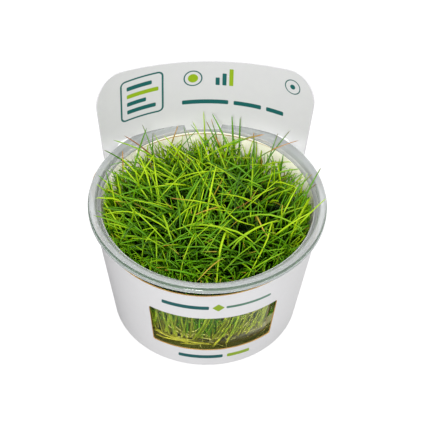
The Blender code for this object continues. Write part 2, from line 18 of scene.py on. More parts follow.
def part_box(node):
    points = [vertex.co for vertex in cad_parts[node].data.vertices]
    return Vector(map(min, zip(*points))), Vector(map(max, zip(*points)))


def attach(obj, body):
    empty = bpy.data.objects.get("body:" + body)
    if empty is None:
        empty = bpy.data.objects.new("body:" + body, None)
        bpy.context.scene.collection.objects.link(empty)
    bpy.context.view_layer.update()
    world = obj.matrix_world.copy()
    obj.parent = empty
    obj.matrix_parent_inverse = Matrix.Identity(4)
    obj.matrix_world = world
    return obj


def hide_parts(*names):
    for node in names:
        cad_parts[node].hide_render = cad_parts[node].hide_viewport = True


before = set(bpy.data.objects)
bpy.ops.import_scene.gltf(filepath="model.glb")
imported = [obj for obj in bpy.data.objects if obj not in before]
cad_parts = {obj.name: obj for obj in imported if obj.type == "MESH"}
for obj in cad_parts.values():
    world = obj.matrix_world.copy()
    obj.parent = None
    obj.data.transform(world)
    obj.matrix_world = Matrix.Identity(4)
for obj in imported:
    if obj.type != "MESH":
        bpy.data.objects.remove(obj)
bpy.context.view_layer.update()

TUFTS = sorted(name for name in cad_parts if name.startswith("tuft_"))
print("frame:", len(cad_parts), "nodes, of which", len(TUFTS), "are tufts")

# %% [markdown]
# ## The camera
# A product photographer looks down on the cup from the front, far away with a long lens, so
# that its round rim stays a calm ellipse. The place of the camera could be set by eye, but
# here it is given as a distance and angles from a point on the cup's axis: such numbers can
# be compared with the photograph one at a time.

# %% Camera
SENSOR_WIDTH_MM = 36.0
LENS_MM = 125.58
AIM = Vector((0.0, 0.0, 0.025))
CAMERA_DISTANCE = 0.6195
CAMERA_RISE = math.radians(47.61)
CAMERA_ROUND = math.radians(-3.4)
CAMERA_PAN = math.radians(0.30)
CAMERA_TILT = math.radians(1.52)
CAMERA_ROLL = math.radians(1.73)
CLIP_START = 0.01


def camera_matrix():
    """Where the camera stands and how it is turned, in the frame of the cup."""
    away = Vector((0.0, -math.cos(CAMERA_RISE), math.sin(CAMERA_RISE)))
    ahead = -away
    right = ahead.cross(Vector((0.0, 0.0, 1.0))).normalized()
    up = right.cross(ahead)
    level = math.cos(CAMERA_TILT)
    ahead = (
        ahead * (level * math.cos(CAMERA_PAN))
        + right * math.sin(CAMERA_PAN)
        + up * math.sin(CAMERA_TILT)
    ).normalized()
    right = ahead.cross(Vector((0.0, 0.0, 1.0))).normalized()
    up = right.cross(ahead)
    turn = Matrix((right, up, -ahead)).transposed().to_4x4()
    place = Matrix.Translation(AIM + away * CAMERA_DISTANCE)
    round_the_cup = Matrix.Rotation(CAMERA_ROUND, 4, "Z")
    return round_the_cup @ place @ turn @ Matrix.Rotation(CAMERA_ROLL, 4, "Z")


def put_in_scene(name, data):
    """Make an object from its data and link it to the scene."""
    made = bpy.data.objects.new(name, data)
    bpy.context.scene.collection.objects.link(made)
    return made


camera = put_in_scene("camera", bpy.data.cameras.new("camera"))
camera.data.sensor_width = SENSOR_WIDTH_MM
camera.data.lens = LENS_MM
camera.data.clip_start = CLIP_START
camera.matrix_world = camera_matrix()
bpy.context.scene.camera = camera
print("camera at", [round(value, 4) for value in camera.matrix_world.translation])

# %% [markdown]
# ## Small helpers for node trees
# Every finish below is a tree of shader nodes. Trees could be wired line by line, but a few
# short helpers keep the cells readable: they add a node, mix two colours, ease from one number
# to another and do arithmetic. A shader's plain values are set on its own sockets.

# %% Helpers for node trees
def give(tree, place, value):
    """Give a socket a plain value, or link it to another node's output."""
    if isinstance(value, bpy.types.NodeSocket):
        tree.links.new(value, place)
    else:
        place.default_value = value


def socket(sockets, name):
    """The socket of that name that the node uses in its present mode."""
    return next(one for one in sockets if one.name == name and one.enabled)


def add_node(tree, kind, inputs=None, **settings):
    """Add a node with its settings. Each named input is given a value or a link."""
    made = tree.nodes.new(kind)
    for name, value in settings.items():
        setattr(made, name, value)
    for name, value in (inputs or {}).items():
        give(tree, socket(made.inputs, name), value)
    return made


def mix_colours(tree, share, first, second):
    """Blend from the first colour to the second by a share."""
    made = add_node(tree, "ShaderNodeMix", {"Factor": share, "A": first, "B": second}, data_type="RGBA")
    return socket(made.outputs, "Result")


def arithmetic(tree, operation, *values, clamp=False):
    """One step of arithmetic on numbers. Most steps take two, MULTIPLY_ADD takes three."""
    made = add_node(tree, "ShaderNodeMath", operation=operation, use_clamp=clamp)
    for place, value in zip(made.inputs, values):
        give(tree, place, value)
    return made.outputs[0]


def vector_step(tree, operation, *values):
    """One step of arithmetic on vectors. Its result is a vector, or a number for a length."""
    made = add_node(tree, "ShaderNodeVectorMath", operation=operation)
    for place, value in zip(made.inputs, values):
        give(tree, place, value)
    return made.outputs["Value" if operation == "LENGTH" else "Vector"]


def ease(tree, value, low, high, first=0.0, last=1.0):
    """Ease from the first to the last number as the value goes from low to high."""
    inputs = {"Value": value, "From Min": low, "From Max": high, "To Min": first, "To Max": last}
    return add_node(tree, "ShaderNodeMapRange", inputs, interpolation_type="SMOOTHSTEP").outputs["Result"]


def object_place(tree):
    """Where each point of the surface is, in the space of its own object."""
    return add_node(tree, "ShaderNodeTexCoord").outputs["Object"]


def split(tree, vector):
    """The X, Y and Z of a vector."""
    return add_node(tree, "ShaderNodeSeparateXYZ", {"Vector": vector}).outputs


print("node helpers ready")

# %% [markdown]
# ## Materials and node groups
# A material keeps its shader in its own tree, and what several materials share goes into a node
# group. A group could be copied by hand from material to material, but one that is made once,
# with named inputs, stays the same everywhere it is placed.

# %% Helpers for materials and groups
def new_material(name):
    """A material with its tree and its Principled BSDF."""
    made = bpy.data.materials.new(name)
    made.use_nodes = True
    return made, made.node_tree, made.node_tree.nodes["Principled BSDF"]


def set_values(shader, values):
    """Set the sockets of a shader that are the same all over the surface."""
    for name, value in values.items():
        shader.inputs[name].default_value = value


def new_group(name, takes, gives):
    """A node group with its named inputs, given as (type, default), and its named outputs."""
    group = bpy.data.node_groups.new(name, "ShaderNodeTree")
    for title, (kind, value) in takes.items():
        made = group.interface.new_socket(title, in_out="INPUT", socket_type=kind)
        made.default_value = value
    for title, kind in gives.items():
        group.interface.new_socket(title, in_out="OUTPUT", socket_type=kind)
    return group, group.nodes.new("NodeGroupInput").outputs, group.nodes.new("NodeGroupOutput").inputs


def place_group(tree, group, inputs):
    """Put a node group in a tree with its own values."""
    made = tree.nodes.new("ShaderNodeGroup")
    made.node_tree = group
    for name, value in inputs.items():
        give(tree, made.inputs[name], value)
    return made.outputs


def add_bump(tree, shader, height, distance, strength=1.0):
    """Let a height raise the surface by a distance in metres."""
    bump = add_node(tree, "ShaderNodeBump", {"Height": height, "Distance": distance, "Strength": strength})
    tree.links.new(bump.outputs["Normal"], shader.inputs["Normal"])


def tint_through(tree, colour, density):
    """Let a clear material take on a colour through its depth."""
    tint = add_node(tree, "ShaderNodeVolumeAbsorption", {"Color": colour, "Density": density})
    tree.links.new(tint.outputs["Volume"], tree.nodes["Material Output"].inputs["Volume"])


print("material helpers ready")

# %% [markdown]
# ## Two effects that many finishes share
# Paper, plastic and leaves all have a slight unevenness of tone, and a fine grain that
# roughens their shine. Each could be wired anew in every material, but as node groups they
# are made once and placed with their own scale and depth.

# %% Shared effects
COLOUR, NUMBER, VECTOR = "NodeSocketColor", "NodeSocketFloat", "NodeSocketVector"
CLOUD_DETAIL, GRAIN_DETAIL = 3.0, 4.0
# Noise stays within about a quarter of its middle, so four times its swing fills -1 to 1
NOISE_MIDDLE, FILLS_SWING = 0.5, 4.0


def noise(tree, scale, detail):
    """Noise through the space of the object."""
    inputs = {"Vector": object_place(tree), "Scale": scale, "Detail": detail}
    return add_node(tree, "ShaderNodeTexNoise", inputs).outputs["Fac"]


def make_cloudy_tone():
    """Lightens and darkens a colour in soft clouds."""
    group, takes, gives = new_group(
        "cloudy tone",
        {"Colour": (COLOUR, (1, 1, 1, 1)), "Scale": (NUMBER, 100.0), "Depth": (NUMBER, 0.1)},
        {"Colour": COLOUR, "Clouds": NUMBER},
    )
    clouds = noise(group, takes["Scale"], CLOUD_DETAIL)
    swing = arithmetic(group, "SUBTRACT", clouds, NOISE_MIDDLE)
    depth = arithmetic(group, "MULTIPLY", takes["Depth"], FILLS_SWING)
    inputs = {"Vector": takes["Colour"], "Scale": arithmetic(group, "MULTIPLY_ADD", swing, depth, 1.0)}
    scaled = add_node(group, "ShaderNodeVectorMath", inputs, operation="SCALE")
    group.links.new(scaled.outputs["Vector"], gives["Colour"])
    group.links.new(clouds, gives["Clouds"])
    return group


def make_fine_grain():
    """A fine grain: a height for a bump and a roughness that swings about a middle value."""
    group, takes, gives = new_group(
        "fine grain",
        {"Scale": (NUMBER, 2000.0), "Roughness": (NUMBER, 0.4), "Swing": (NUMBER, 0.1)},
        {"Height": NUMBER, "Roughness": NUMBER},
    )
    height = noise(group, takes["Scale"], GRAIN_DETAIL)
    swing = arithmetic(group, "SUBTRACT", height, NOISE_MIDDLE)
    rough = arithmetic(group, "MULTIPLY_ADD", swing, takes["Swing"], takes["Roughness"], clamp=True)
    group.links.new(height, gives["Height"])
    group.links.new(rough, gives["Roughness"])
    return group


CLOUDY_TONE = make_cloudy_tone()
FINE_GRAIN = make_fine_grain()


def dress(tree, shader, colour, clouds, grain):
    """Clouds (scale, depth) on a colour and a grain (scale, roughness, swing) on a shader's shine."""
    scale, depth = clouds
    tone = place_group(tree, CLOUDY_TONE, {"Colour": colour, "Scale": scale, "Depth": depth})
    scale, roughness, swing = grain
    fine = place_group(tree, FINE_GRAIN, {"Scale": scale, "Roughness": roughness, "Swing": swing})
    tree.links.new(tone["Colour"], shader.inputs["Base Color"])
    tree.links.new(fine["Roughness"], shader.inputs["Roughness"])
    return tone, fine


print("shared effects:", CLOUDY_TONE.name, "and", FINE_GRAIN.name)

# %% [markdown]
# ## Floor and light
# The cup stands on a plain pale floor in soft light, as in a light tent. A tent could be built
# from many lamps, but a bright world with one soft panel in front and one above gives the same
# look: pale sides, a gentle shine on the leaves and dark gaps between them. The floor is dark
# enough not to light the card from below. So that it still looks white, it glows for the camera,
# for rays that went through clear plastic beside the cup and, more weakly, for mirrored rays on
# the right.

# %% Floor and light
FLOOR_RADIUS, FLOOR_SIDES = 1.5, 96
FLOOR_TONE = {"Colour": (0.13, 0.13, 0.131, 1.0), "Scale": 3.0, "Depth": 0.01}
FLOOR_ROUGHNESS = 0.9
FLOOR_GLOW_COLOUR = (1.0, 1.0, 1.0, 1.0)
FLOOR_GLOW = 0.90
# How far from the axis the glow starts for rays through clear plastic, and how far to the
# right for mirrored ones
FLOOR_GLOW_STARTS = (0.046, 0.062)
RIGHT_STARTS = (0.0, 0.045)
SEEN_MIRRORED = 0.70
WORLD_COLOUR = (1.0, 1.0, 1.0, 1.0)
WORLD_STRENGTH = 1.21
SOFT_PANELS = {
    "key light": ((-0.17, -0.73, 0.50), 0.20, 3.4),
    "top light": ((-0.10, 0.05, 1.05), 0.25, 1.2),
}


def add_light(name, place, size, watts):
    """A square soft panel that faces the cup."""
    light = bpy.data.lights.new(name, "AREA")
    light.size = size
    light.energy = watts
    made = put_in_scene(name, light)
    made.location = place
    made.rotation_euler = (AIM - Vector(place)).to_track_quat("-Z", "Y").to_euler()


def floor_glow(tree):
    """How strongly the floor glows for each kind of ray."""
    seen = add_node(tree, "ShaderNodeLightPath").outputs
    place = object_place(tree)
    beside = ease(tree, vector_step(tree, "LENGTH", place), *FLOOR_GLOW_STARTS)
    through = arithmetic(tree, "MULTIPLY", seen["Is Transmission Ray"], beside)
    right = ease(tree, split(tree, place)["X"], *RIGHT_STARTS, 0.0, SEEN_MIRRORED)
    mirrored = arithmetic(tree, "MULTIPLY", seen["Is Glossy Ray"], right)
    straight = arithmetic(tree, "MAXIMUM", seen["Is Camera Ray"], through)
    return arithmetic(tree, "MULTIPLY", arithmetic(tree, "MAXIMUM", straight, mirrored), FLOOR_GLOW)


def add_floor():
    """A wide round floor."""
    bm = bmesh.new()
    bmesh.ops.create_circle(bm, cap_ends=True, segments=FLOOR_SIDES, radius=FLOOR_RADIUS)
    mesh = bpy.data.meshes.new("floor")
    bm.to_mesh(mesh)
    bm.free()
    pale, tree, shader = new_material("pale floor")
    tone = place_group(tree, CLOUDY_TONE, FLOOR_TONE)
    tree.links.new(tone["Colour"], shader.inputs["Base Color"])
    tree.links.new(floor_glow(tree), shader.inputs["Emission Strength"])
    set_values(shader, {"Roughness": FLOOR_ROUGHNESS, "Emission Color": FLOOR_GLOW_COLOUR})
    mesh.materials.append(pale)
    put_in_scene("floor", mesh)


world = bpy.data.worlds.new("light tent")
world.use_nodes = True
background = world.node_tree.nodes["Background"].inputs
background["Color"].default_value = WORLD_COLOUR
background["Strength"].default_value = WORLD_STRENGTH
bpy.context.scene.world = world
bpy.context.scene.view_settings.view_transform = "Standard"
for name, (place, size, watts) in SOFT_PANELS.items():
    add_light(name, place, size, watts)
add_floor()
print("lights:", ", ".join(SOFT_PANELS))

# %% [markdown]
# ## From numbers to named pieces
# Each piece is a mesh of its own that rides with the model and stands in for the plain solid
# of the same thing. One helper does this for all pieces, so none is forgotten.

# %% Pieces and turned shapes
SHARP_ANGLE = math.radians(35)
ROUND_STEPS, MOST_ROUNDED = 5, 0.45


def add_piece(name, verts, faces, finishes, nodes, face_finish=None, sharp=SHARP_ANGLE):
    """Make a smooth mesh piece that stands in for CAD nodes and takes a material slot."""
    mesh = bpy.data.meshes.new(name)
    mesh.from_pydata(verts, [], faces)
    for finish in finishes:
        mesh.materials.append(finish)
    if face_finish is not None:
        mesh.polygons.foreach_set("material_index", face_finish)
    mesh.shade_smooth()
    if sharp:
        mesh.set_sharp_from_angle(angle=sharp)
    mesh.update()
    piece = put_in_scene(name, mesh)
    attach(piece, "root")
    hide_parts(*nodes)
    return piece


def rounded(corners):
    """Round off the corners of a profile, given as (radius, height, rounding)."""
    points = []
    for index, (x, z, rounding) in enumerate(corners):
        here = Vector((x, z))
        if rounding == 0.0:
            points.append((x, z))
            continue
        before = Vector(corners[index - 1][:2]) - here
        after = Vector(corners[index + 1][:2]) - here
        start = here + before.normalized() * min(rounding, before.length * MOST_ROUNDED)
        stop = here + after.normalized() * min(rounding, after.length * MOST_ROUNDED)
        for step in range(ROUND_STEPS + 1):
            share = step / ROUND_STEPS
            bend = start * (1 - share) ** 2 + here * (2 * share * (1 - share)) + stop * share ** 2
            points.append((bend.x, bend.y))
    return points


def turned(profile, sides):
    """Turn a profile of (radius, height) points, whose ends are on the axis, about Z."""
    verts, rings, faces = [], [], []
    for radius, height in profile:
        count = 1 if radius == 0.0 else sides
        rings.append(list(range(len(verts), len(verts) + count)))
        for side in range(count):
            angle = 2 * math.pi * side / sides
            verts.append((radius * math.cos(angle), radius * math.sin(angle), height))
    for low, high in zip(rings, rings[1:]):
        for side in range(sides):
            after = (side + 1) % sides
            if len(low) == 1:
                faces.append((low[0], high[after], high[side]))
            elif len(high) == 1:
                faces.append((low[side], low[after], high[0]))
            else:
                faces.append((low[side], low[after], high[after], high[side]))
    return verts, faces


print("piece helpers ready")

# %% [markdown]
# ## The shape of the card sleeve
# The sleeve is one flat sheet of white card, die-cut with a window, a slot and a round
# shouldered panel, then wrapped round the cup and glued. It could be cut out of a cone with
# Booleans, but a sheet that is drawn flat and then wrapped keeps an even, clean mesh. Here
# each point is an angle from the back of the cup and a height.

# %% Measures of the card
MM = 0.001
RIM_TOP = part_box("cup")[1].z
RIM_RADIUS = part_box("cup")[1].x
CARD = 0.0005
SLEEVE_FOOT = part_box("sleeve")[0].z
SLEEVE_FOOT_RADIUS = 0.0380
SLEEVE_TOP = 0.0516
SLEEVE_TOP_RADIUS = 0.0448
WINDOW_LOW, WINDOW_HIGH = 0.0117, 0.0350
WINDOW_HALF_ANGLE = math.radians(36.2)
WINDOW_TURN = math.radians(2.0)
WINDOW_CORNER = 0.0006
PANEL_BEND_RADIUS = 0.0650
PANEL_AT_RIM = 0.0434
PANEL_LEAN = math.radians(4.1)
PANEL_HEIGHT = 0.0324
PANEL_HALF_WIDTH = 0.0451
PANEL_FLARE = 0.12
PANEL_CORNER = 0.0121
PANEL_SIDE_RISE = 0.0034
PANEL_RISE_AT = 0.0400
PANEL_EDGE_ANGLE = math.radians(58)
SLOT_HALF_WIDTH = 0.0380
SLOT_TOP = RIM_TOP + 0.0004
SLOT_CORNER = 0.0015
TONGUE_HALF_WIDTH = 0.0080
TONGUE_TIP = RIM_TOP - 0.0024
TONGUE_TAPER = 0.9
SWELL_LOW, SWELL_HIGH = 0.0400, 0.0550
SWELL_FULL_ANGLE, SWELL_END_ANGLE = math.radians(62), math.radians(92)
TONGUE_BEND_LOW, TONGUE_BEND_HIGH = 0.0518, 0.0556
SEAM_START, SEAM_END = -math.radians(270), math.radians(90)
DIP_MIDDLE, DIP_HALF_ANGLE, DIP_DEPTH = math.radians(-161), math.radians(56), 0.0014
COLUMN_STEP = math.radians(2.0)
ROW_STEP = 0.0019
EDGE_CLEARANCE = 0.0006


def smooth_step(low, high, value):
    """Ease from 0 at low to 1 at high."""
    share = np.clip((value - low) / (high - low), 0.0, 1.0)
    return share * share * (3.0 - 2.0 * share)


def panel_centre(height):
    """Where the axis of the back panel's bend stands in Y at a height."""
    return PANEL_AT_RIM + (height - RIM_TOP) * math.tan(PANEL_LEAN) - PANEL_BEND_RADIUS


def sleeve_radius(angle, height):
    """Mid radius of the card: a cone that swells out to meet the wider bend of the panel."""
    slope = (SLEEVE_TOP_RADIUS - SLEEVE_FOOT_RADIUS) / (SLEEVE_TOP - SLEEVE_FOOT)
    cone = SLEEVE_FOOT_RADIUS + slope * (height - SLEEVE_FOOT)
    fade = 1.0 - smooth_step(SWELL_FULL_ANGLE, SWELL_END_ANGLE, np.abs(angle))
    held = np.where(height < SLOT_TOP, np.minimum(np.abs(angle), PANEL_EDGE_ANGLE), np.abs(angle))
    centre = panel_centre(height)
    across = np.minimum((centre * np.sin(held)) ** 2, PANEL_BEND_RADIUS ** 2)
    away = centre * np.cos(held) + np.sqrt(PANEL_BEND_RADIUS ** 2 - across) - cone
    swell = fade * smooth_step(SWELL_LOW, SWELL_HIGH, height)
    tuck = smooth_step(TONGUE_BEND_LOW, TONGUE_BEND_HIGH, height)
    return cone + away * np.where(away > 0, swell, tuck)


def panel_place(across, up):
    """Angle and height of a point of the back panel, from its place on the flat sheet."""
    up = up + PANEL_SIDE_RISE * (across / PANEL_RISE_AT) ** 2 * max(0.0, up) / PANEL_HEIGHT
    bend = across / PANEL_BEND_RADIUS
    height = RIM_TOP + up * math.cos(PANEL_LEAN)
    x = PANEL_BEND_RADIUS * math.sin(bend)
    y = panel_centre(height) + PANEL_BEND_RADIUS * math.cos(bend)
    return math.atan2(x, y), height


# %% [markdown]
# ## Cutting the sheet
# A die-cutter needs one line round the sheet and one round each opening. Those lines become
# fixed edges of a triangulation, and a grid of points between them lets the card bend
# smoothly. Quads laid by hand could follow the bend too, but not these round shoulders.

# %% Outlines of the sheet
def level_line(start, stop, height, steps):
    """Points of (angle, height) along a level line, both ends included."""
    return [(start + (stop - start) * step / steps, height) for step in range(steps + 1)]


def upright_line(angle, low, high, steps):
    """Points of (angle, height) along an upright line, without its ends."""
    return [(angle, low + (high - low) * step / steps) for step in range(1, steps)]


def panel_outline():
    """Half outline of the back panel on the flat sheet, from its root to the middle of its top."""
    side_steps, corner_steps, top_steps = 16, 20, 24
    corner_up = PANEL_HEIGHT - PANEL_CORNER
    corner_across = PANEL_HALF_WIDTH + PANEL_FLARE * corner_up - PANEL_CORNER
    root = SLEEVE_TOP - RIM_TOP
    points = []
    for step in range(side_steps):
        up = root + (corner_up - root) * step / side_steps
        points.append((PANEL_HALF_WIDTH + PANEL_FLARE * up, up))
    for step in range(corner_steps + 1):
        turn = math.radians(90) * step / corner_steps
        across = corner_across + PANEL_CORNER * math.cos(turn)
        points.append((across, corner_up + PANEL_CORNER * math.sin(turn)))
    for step in range(1, top_steps + 1):
        points.append((corner_across * (1 - step / top_steps), PANEL_HEIGHT))
    return points


def front_dip(angle):
    """How far the top edge sags away from the rim at the front."""
    away = (angle - DIP_MIDDLE) / DIP_HALF_ANGLE
    return DIP_DEPTH * max(0.0, 1.0 - away * away) ** 2


def outer_outline():
    """Outline of the sheet: foot, right end, right shoulder, panel, left shoulder and left end."""
    half = [panel_place(across, up) for across, up in panel_outline()]
    other_half = [(-angle, height) for angle, height in half[-2::-1]]
    root = half[0][0]
    end_steps = 26
    foot = level_line(SEAM_START, SEAM_END, SLEEVE_FOOT, round(2 * math.pi / COLUMN_STEP))
    right_end = upright_line(SEAM_END, SLEEVE_FOOT, SLEEVE_TOP, end_steps)
    right = level_line(SEAM_END, root, SLEEVE_TOP, round((SEAM_END - root) / COLUMN_STEP))
    left = level_line(-root, SEAM_START, SLEEVE_TOP, round((-root - SEAM_START) / COLUMN_STEP))
    left = [(angle, height - front_dip(angle)) for angle, height in left]
    left_end = [(SEAM_START, height) for _, height in reversed(right_end)]
    return foot + right_end + right[:-1] + half + other_half + left[1:] + left_end


def window_outline():
    """The window at the front of the band, with small round corners."""
    middle = -math.pi - WINDOW_TURN
    low, high = middle - WINDOW_HALF_ANGLE, middle + WINDOW_HALF_ANGLE
    turn = WINDOW_CORNER / SLEEVE_TOP_RADIUS
    steps = round((high - low) / COLUMN_STEP)
    side_steps = 12
    bottom = level_line(low + turn, high - turn, WINDOW_LOW, steps)
    rise = [WINDOW_LOW + WINDOW_CORNER + (WINDOW_HIGH - WINDOW_LOW - 2 * WINDOW_CORNER) * step / side_steps
            for step in range(side_steps + 1)]
    right = [(high, height) for height in rise]
    top = level_line(high - turn, low + turn, WINDOW_HIGH, steps)
    left = [(low, height) for height in reversed(rise)]
    return bottom + right + top + left


def slot_outline():
    """The slot for the rim, with the tongue that hangs into it at the middle of the back."""
    end = panel_place(SLOT_HALF_WIDTH, 0.0)[0]
    tongue = panel_place(TONGUE_HALF_WIDTH, 0.0)[0]
    corner = end - SLOT_CORNER / SLEEVE_TOP_RADIUS
    foot_steps, top_steps, tip_steps, side_steps = 50, 20, 10, 3
    foot = level_line(-end, end, SLEEVE_TOP, foot_steps)
    right = upright_line(end, SLEEVE_TOP, SLOT_TOP - SLOT_CORNER, side_steps + 1)
    right += [(end, SLOT_TOP - SLOT_CORNER)] + level_line(corner, tongue, SLOT_TOP, top_steps)
    tip_end = tongue * TONGUE_TAPER
    tip = level_line(tip_end, -tip_end, TONGUE_TIP, tip_steps)
    left = [(-angle, height) for angle, height in reversed(right)]
    return foot + right + tip + left


print("outlines:", len(outer_outline()), "points round the sheet,", len(window_outline()), "round the window")

# %% [markdown]
# ## The flat sheet as a mesh
# Between the outlines the sheet needs points to bend at. A modelling tool could fill it with a
# few long triangles, but those would show as creases once the card is wrapped. So a grid of
# points is laid over it, those off the card are dropped, and a triangulation joins the rest.

# %% Triangles of the flat sheet
WELD = 1e-7


def inside(outline, xs, ys):
    """For many points at once, whether each is inside an outline."""
    here = np.array(outline)
    after = np.roll(here, -1, axis=0)
    x0, y0, x1, y1 = here[:, 0], here[:, 1], after[:, 0], after[:, 1]
    spans = (y0 > ys[:, None]) != (y1 > ys[:, None])
    rise = np.where(y1 == y0, 1.0, y1 - y0)
    crossing = xs[:, None] < (x1 - x0) * (ys[:, None] - y0) / rise + x0
    return (spans & crossing).sum(axis=1) % 2 == 1


def flat_sheet():
    """Points (angle, height) and triangles of the flat sheet."""
    scale = SLEEVE_TOP_RADIUS
    outlines = [outer_outline(), window_outline(), slot_outline()]
    loops = [[(angle * scale, height) for angle, height in outline] for outline in outlines]

    def on_card(xs, ys):
        """Whether points are on the card and in none of its openings."""
        return inside(loops[0], xs, ys) & ~inside(loops[1], xs, ys) & ~inside(loops[2], xs, ys)

    points, edges = [], []
    for loop in loops:
        first = len(points)
        points.extend(loop)
        edges.extend((first + index, first + (index + 1) % len(loop)) for index in range(len(loop)))
    columns = np.arange(SEAM_START + COLUMN_STEP, SEAM_END - COLUMN_STEP / 2, COLUMN_STEP) * scale
    rows = np.arange(SLEEVE_FOOT + ROW_STEP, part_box("sleeve")[1].z, ROW_STEP)
    xs, ys = (grid.ravel() for grid in np.meshgrid(columns, rows))
    border = np.array(points)
    nearest = np.array([np.hypot(border[:, 0] - x, border[:, 1] - y).min() for x, y in zip(xs, ys)])
    kept = on_card(xs, ys) & (nearest > EDGE_CLEARANCE)
    points.extend(zip(xs[kept], ys[kept]))
    vectors = [Vector(point) for point in points]
    verts, _, faces, _, _, _ = delaunay_2d_cdt(vectors, edges, [], 0, WELD)
    flat = np.array([vert[:] for vert in verts])
    faces = np.array([face for face in faces])
    middles = flat[faces].mean(axis=1)
    faces = faces[on_card(middles[:, 0], middles[:, 1])]
    return flat / (scale, 1.0), faces


SHEET, SHEET_FACES = flat_sheet()
print("flat sheet:", len(SHEET), "points and", len(SHEET_FACES), "triangles")

# %% [markdown]
# ## Printing on the card
# The card is printed in teal and lime. A picture of the print could be laid on the card, but
# the marks here are plain bars, rings and discs, so each is drawn by a node group that measures
# how far a point of the sheet is from the mark's edge. The marks stay sharp at any distance,
# and each is placed in millimetres on the flat sheet.

# %% Print marks
TEAL = (0.006, 0.105, 0.105, 1.0)
LIME = (0.27, 0.41, 0.012, 1.0)
MOSS = (0.06, 0.19, 0.12, 1.0)
PRINT_EDGE = 0.00008
SOLID = 1.0


def bar(across, up, wide, high, ink, corner=0.5, line=SOLID, turn=0.0):
    """A mark: its place and half size, rounding and line width in millimetres, its turn and ink."""
    return (across, up), (wide, high), corner, line, turn, ink


def disc(across, up, radius, ink, line=SOLID):
    """A round mark, or a ring where it has a line width."""
    return bar(across, up, radius, radius, ink, corner=radius, line=line)


PANEL_MARKS = (
    bar(-26.3, 19.6, 9.6, 10.2, TEAL, corner=2.4, line=0.8),
    bar(-27.3, 25.4, 5.6, 1.0, TEAL),
    bar(-25.9, 21.5, 7.0, 1.0, LIME),
    bar(-28.6, 17.6, 4.3, 1.0, TEAL),
    bar(-26.5, 13.7, 6.4, 1.0, TEAL),
    disc(-4.5, 24.2, 3.9, TEAL, line=0.55),
    disc(-4.5, 24.2, 2.1, LIME),
    bar(5.6, 22.6, 0.85, 1.9, TEAL, corner=0.3),
    bar(8.4, 23.7, 0.85, 3.0, TEAL, corner=0.3),
    bar(11.2, 24.9, 0.85, 4.2, LIME, corner=0.3),
    disc(37.3, 27.5, 3.5, TEAL, line=0.45),
    disc(37.3, 27.5, 1.15, TEAL),
    bar(0.6, 12.2, 9.6, 1.05, TEAL),
    bar(18.2, 12.2, 5.8, 1.05, TEAL),
    bar(30.0, 12.2, 3.8, 1.05, TEAL),
)
BAND_MARKS = (
    bar(-10.4, 42.4, 9.4, 1.15, TEAL),
    bar(2.7, 42.4, 1.75, 1.75, LIME, corner=0.4, turn=45.0),
    bar(15.2, 42.4, 9.4, 0.75, MOSS),
    bar(-3.6, 6.7, 9.0, 1.15, TEAL),
    bar(12.0, 6.7, 4.8, 1.15, LIME),
)


def make_print_mark():
    """Mask of a rounded mark: solid, or a line of a given width along its edge."""
    group, takes, gives = new_group(
        "print mark",
        {
            "Sheet": (VECTOR, (0, 0, 0)),
            "Middle": (VECTOR, (0, 0, 0)),
            "Half size": (VECTOR, (0.01, 0.01, 0)),
            "Corner": (NUMBER, 0.001),
            "Line": (NUMBER, SOLID),
            "Turn": (NUMBER, 0.0),
        },
        {"Mask": NUMBER},
    )
    turning = {"Vector": takes["Sheet"], "Center": takes["Middle"], "Angle": takes["Turn"]}
    sheet = add_node(group, "ShaderNodeVectorRotate", turning, rotation_type="Z_AXIS").outputs["Vector"]
    corner = add_node(group, "ShaderNodeCombineXYZ", {"X": takes["Corner"], "Y": takes["Corner"]}).outputs[0]
    away = vector_step(group, "ABSOLUTE", vector_step(group, "SUBTRACT", sheet, takes["Middle"]))
    straight = vector_step(group, "SUBTRACT", takes["Half size"], corner)
    beyond = vector_step(group, "SUBTRACT", away, straight)
    outside = vector_step(group, "LENGTH", vector_step(group, "MAXIMUM", beyond, (0.0, 0.0, 0.0)))
    parts = split(group, beyond)
    within = arithmetic(group, "MINIMUM", arithmetic(group, "MAXIMUM", parts["X"], parts["Y"]), 0.0)
    distance = arithmetic(group, "SUBTRACT", arithmetic(group, "ADD", outside, within), takes["Corner"])
    filled = ease(group, distance, PRINT_EDGE, -PRINT_EDGE)
    depth = arithmetic(group, "ADD", distance, takes["Line"])
    line = ease(group, depth, -PRINT_EDGE, PRINT_EDGE)
    group.links.new(arithmetic(group, "MULTIPLY", filled, line), gives["Mask"])
    return group


PRINT_MARK = make_print_mark()
print("print marks:", len(PANEL_MARKS), "on the panel and", len(BAND_MARKS), "on the band")

# %% [markdown]
# ## The finishes of the card
# Coated card is white with a satin shine, and its cut edges show a brown core. The panel's face is painted
# darker than the band, as painted shade. At the back, the inside of the card has a painted glow behind the
# clear wall and a little above the rim, which stands in for daylight through the card. Real light could be
# sent through the card by subsurface scattering, but the glow costs nothing to render and its place can be
# set.

# %% Card finishes
CARD_COLOUR = (0.78, 0.775, 0.785, 1.0)
# The panel's face is the same card as the band, painted darker: painted shade
SHADED_PANEL_COLOUR = (0.64, 0.632, 0.65, 1.0)
CARD_CLOUDS, CARD_GRAIN, CARD_BUMP = (260.0, 0.012), (5200.0, 0.36, 0.18), (0.000008, 0.5)
CARD_COAT = {"Coat Weight": 0.25, "Coat Roughness": 0.22}
# Colour of the card's inside, which is also the colour of its painted glow
INSIDE_AND_GLOW_COLOUR = (0.78, 0.78, 0.775, 1.0)
PAINTED_INSIDE_GLOW = 0.50
# Heights at which the inner colour and the painted glow end, and how far back the painted glow starts
INSIDE_ENDS = (0.046, 0.054)
GLOW_ENDS = (0.048, 0.068)
BACK_STARTS = (0.0, 0.036)
KRAFT_COLOUR = (0.52, 0.30, 0.08, 1.0)
KRAFT_CLOUDS, KRAFT_GRAIN, KRAFT_BUMP = (900.0, 0.22), (7000.0, 0.85, 0.2), 0.00003


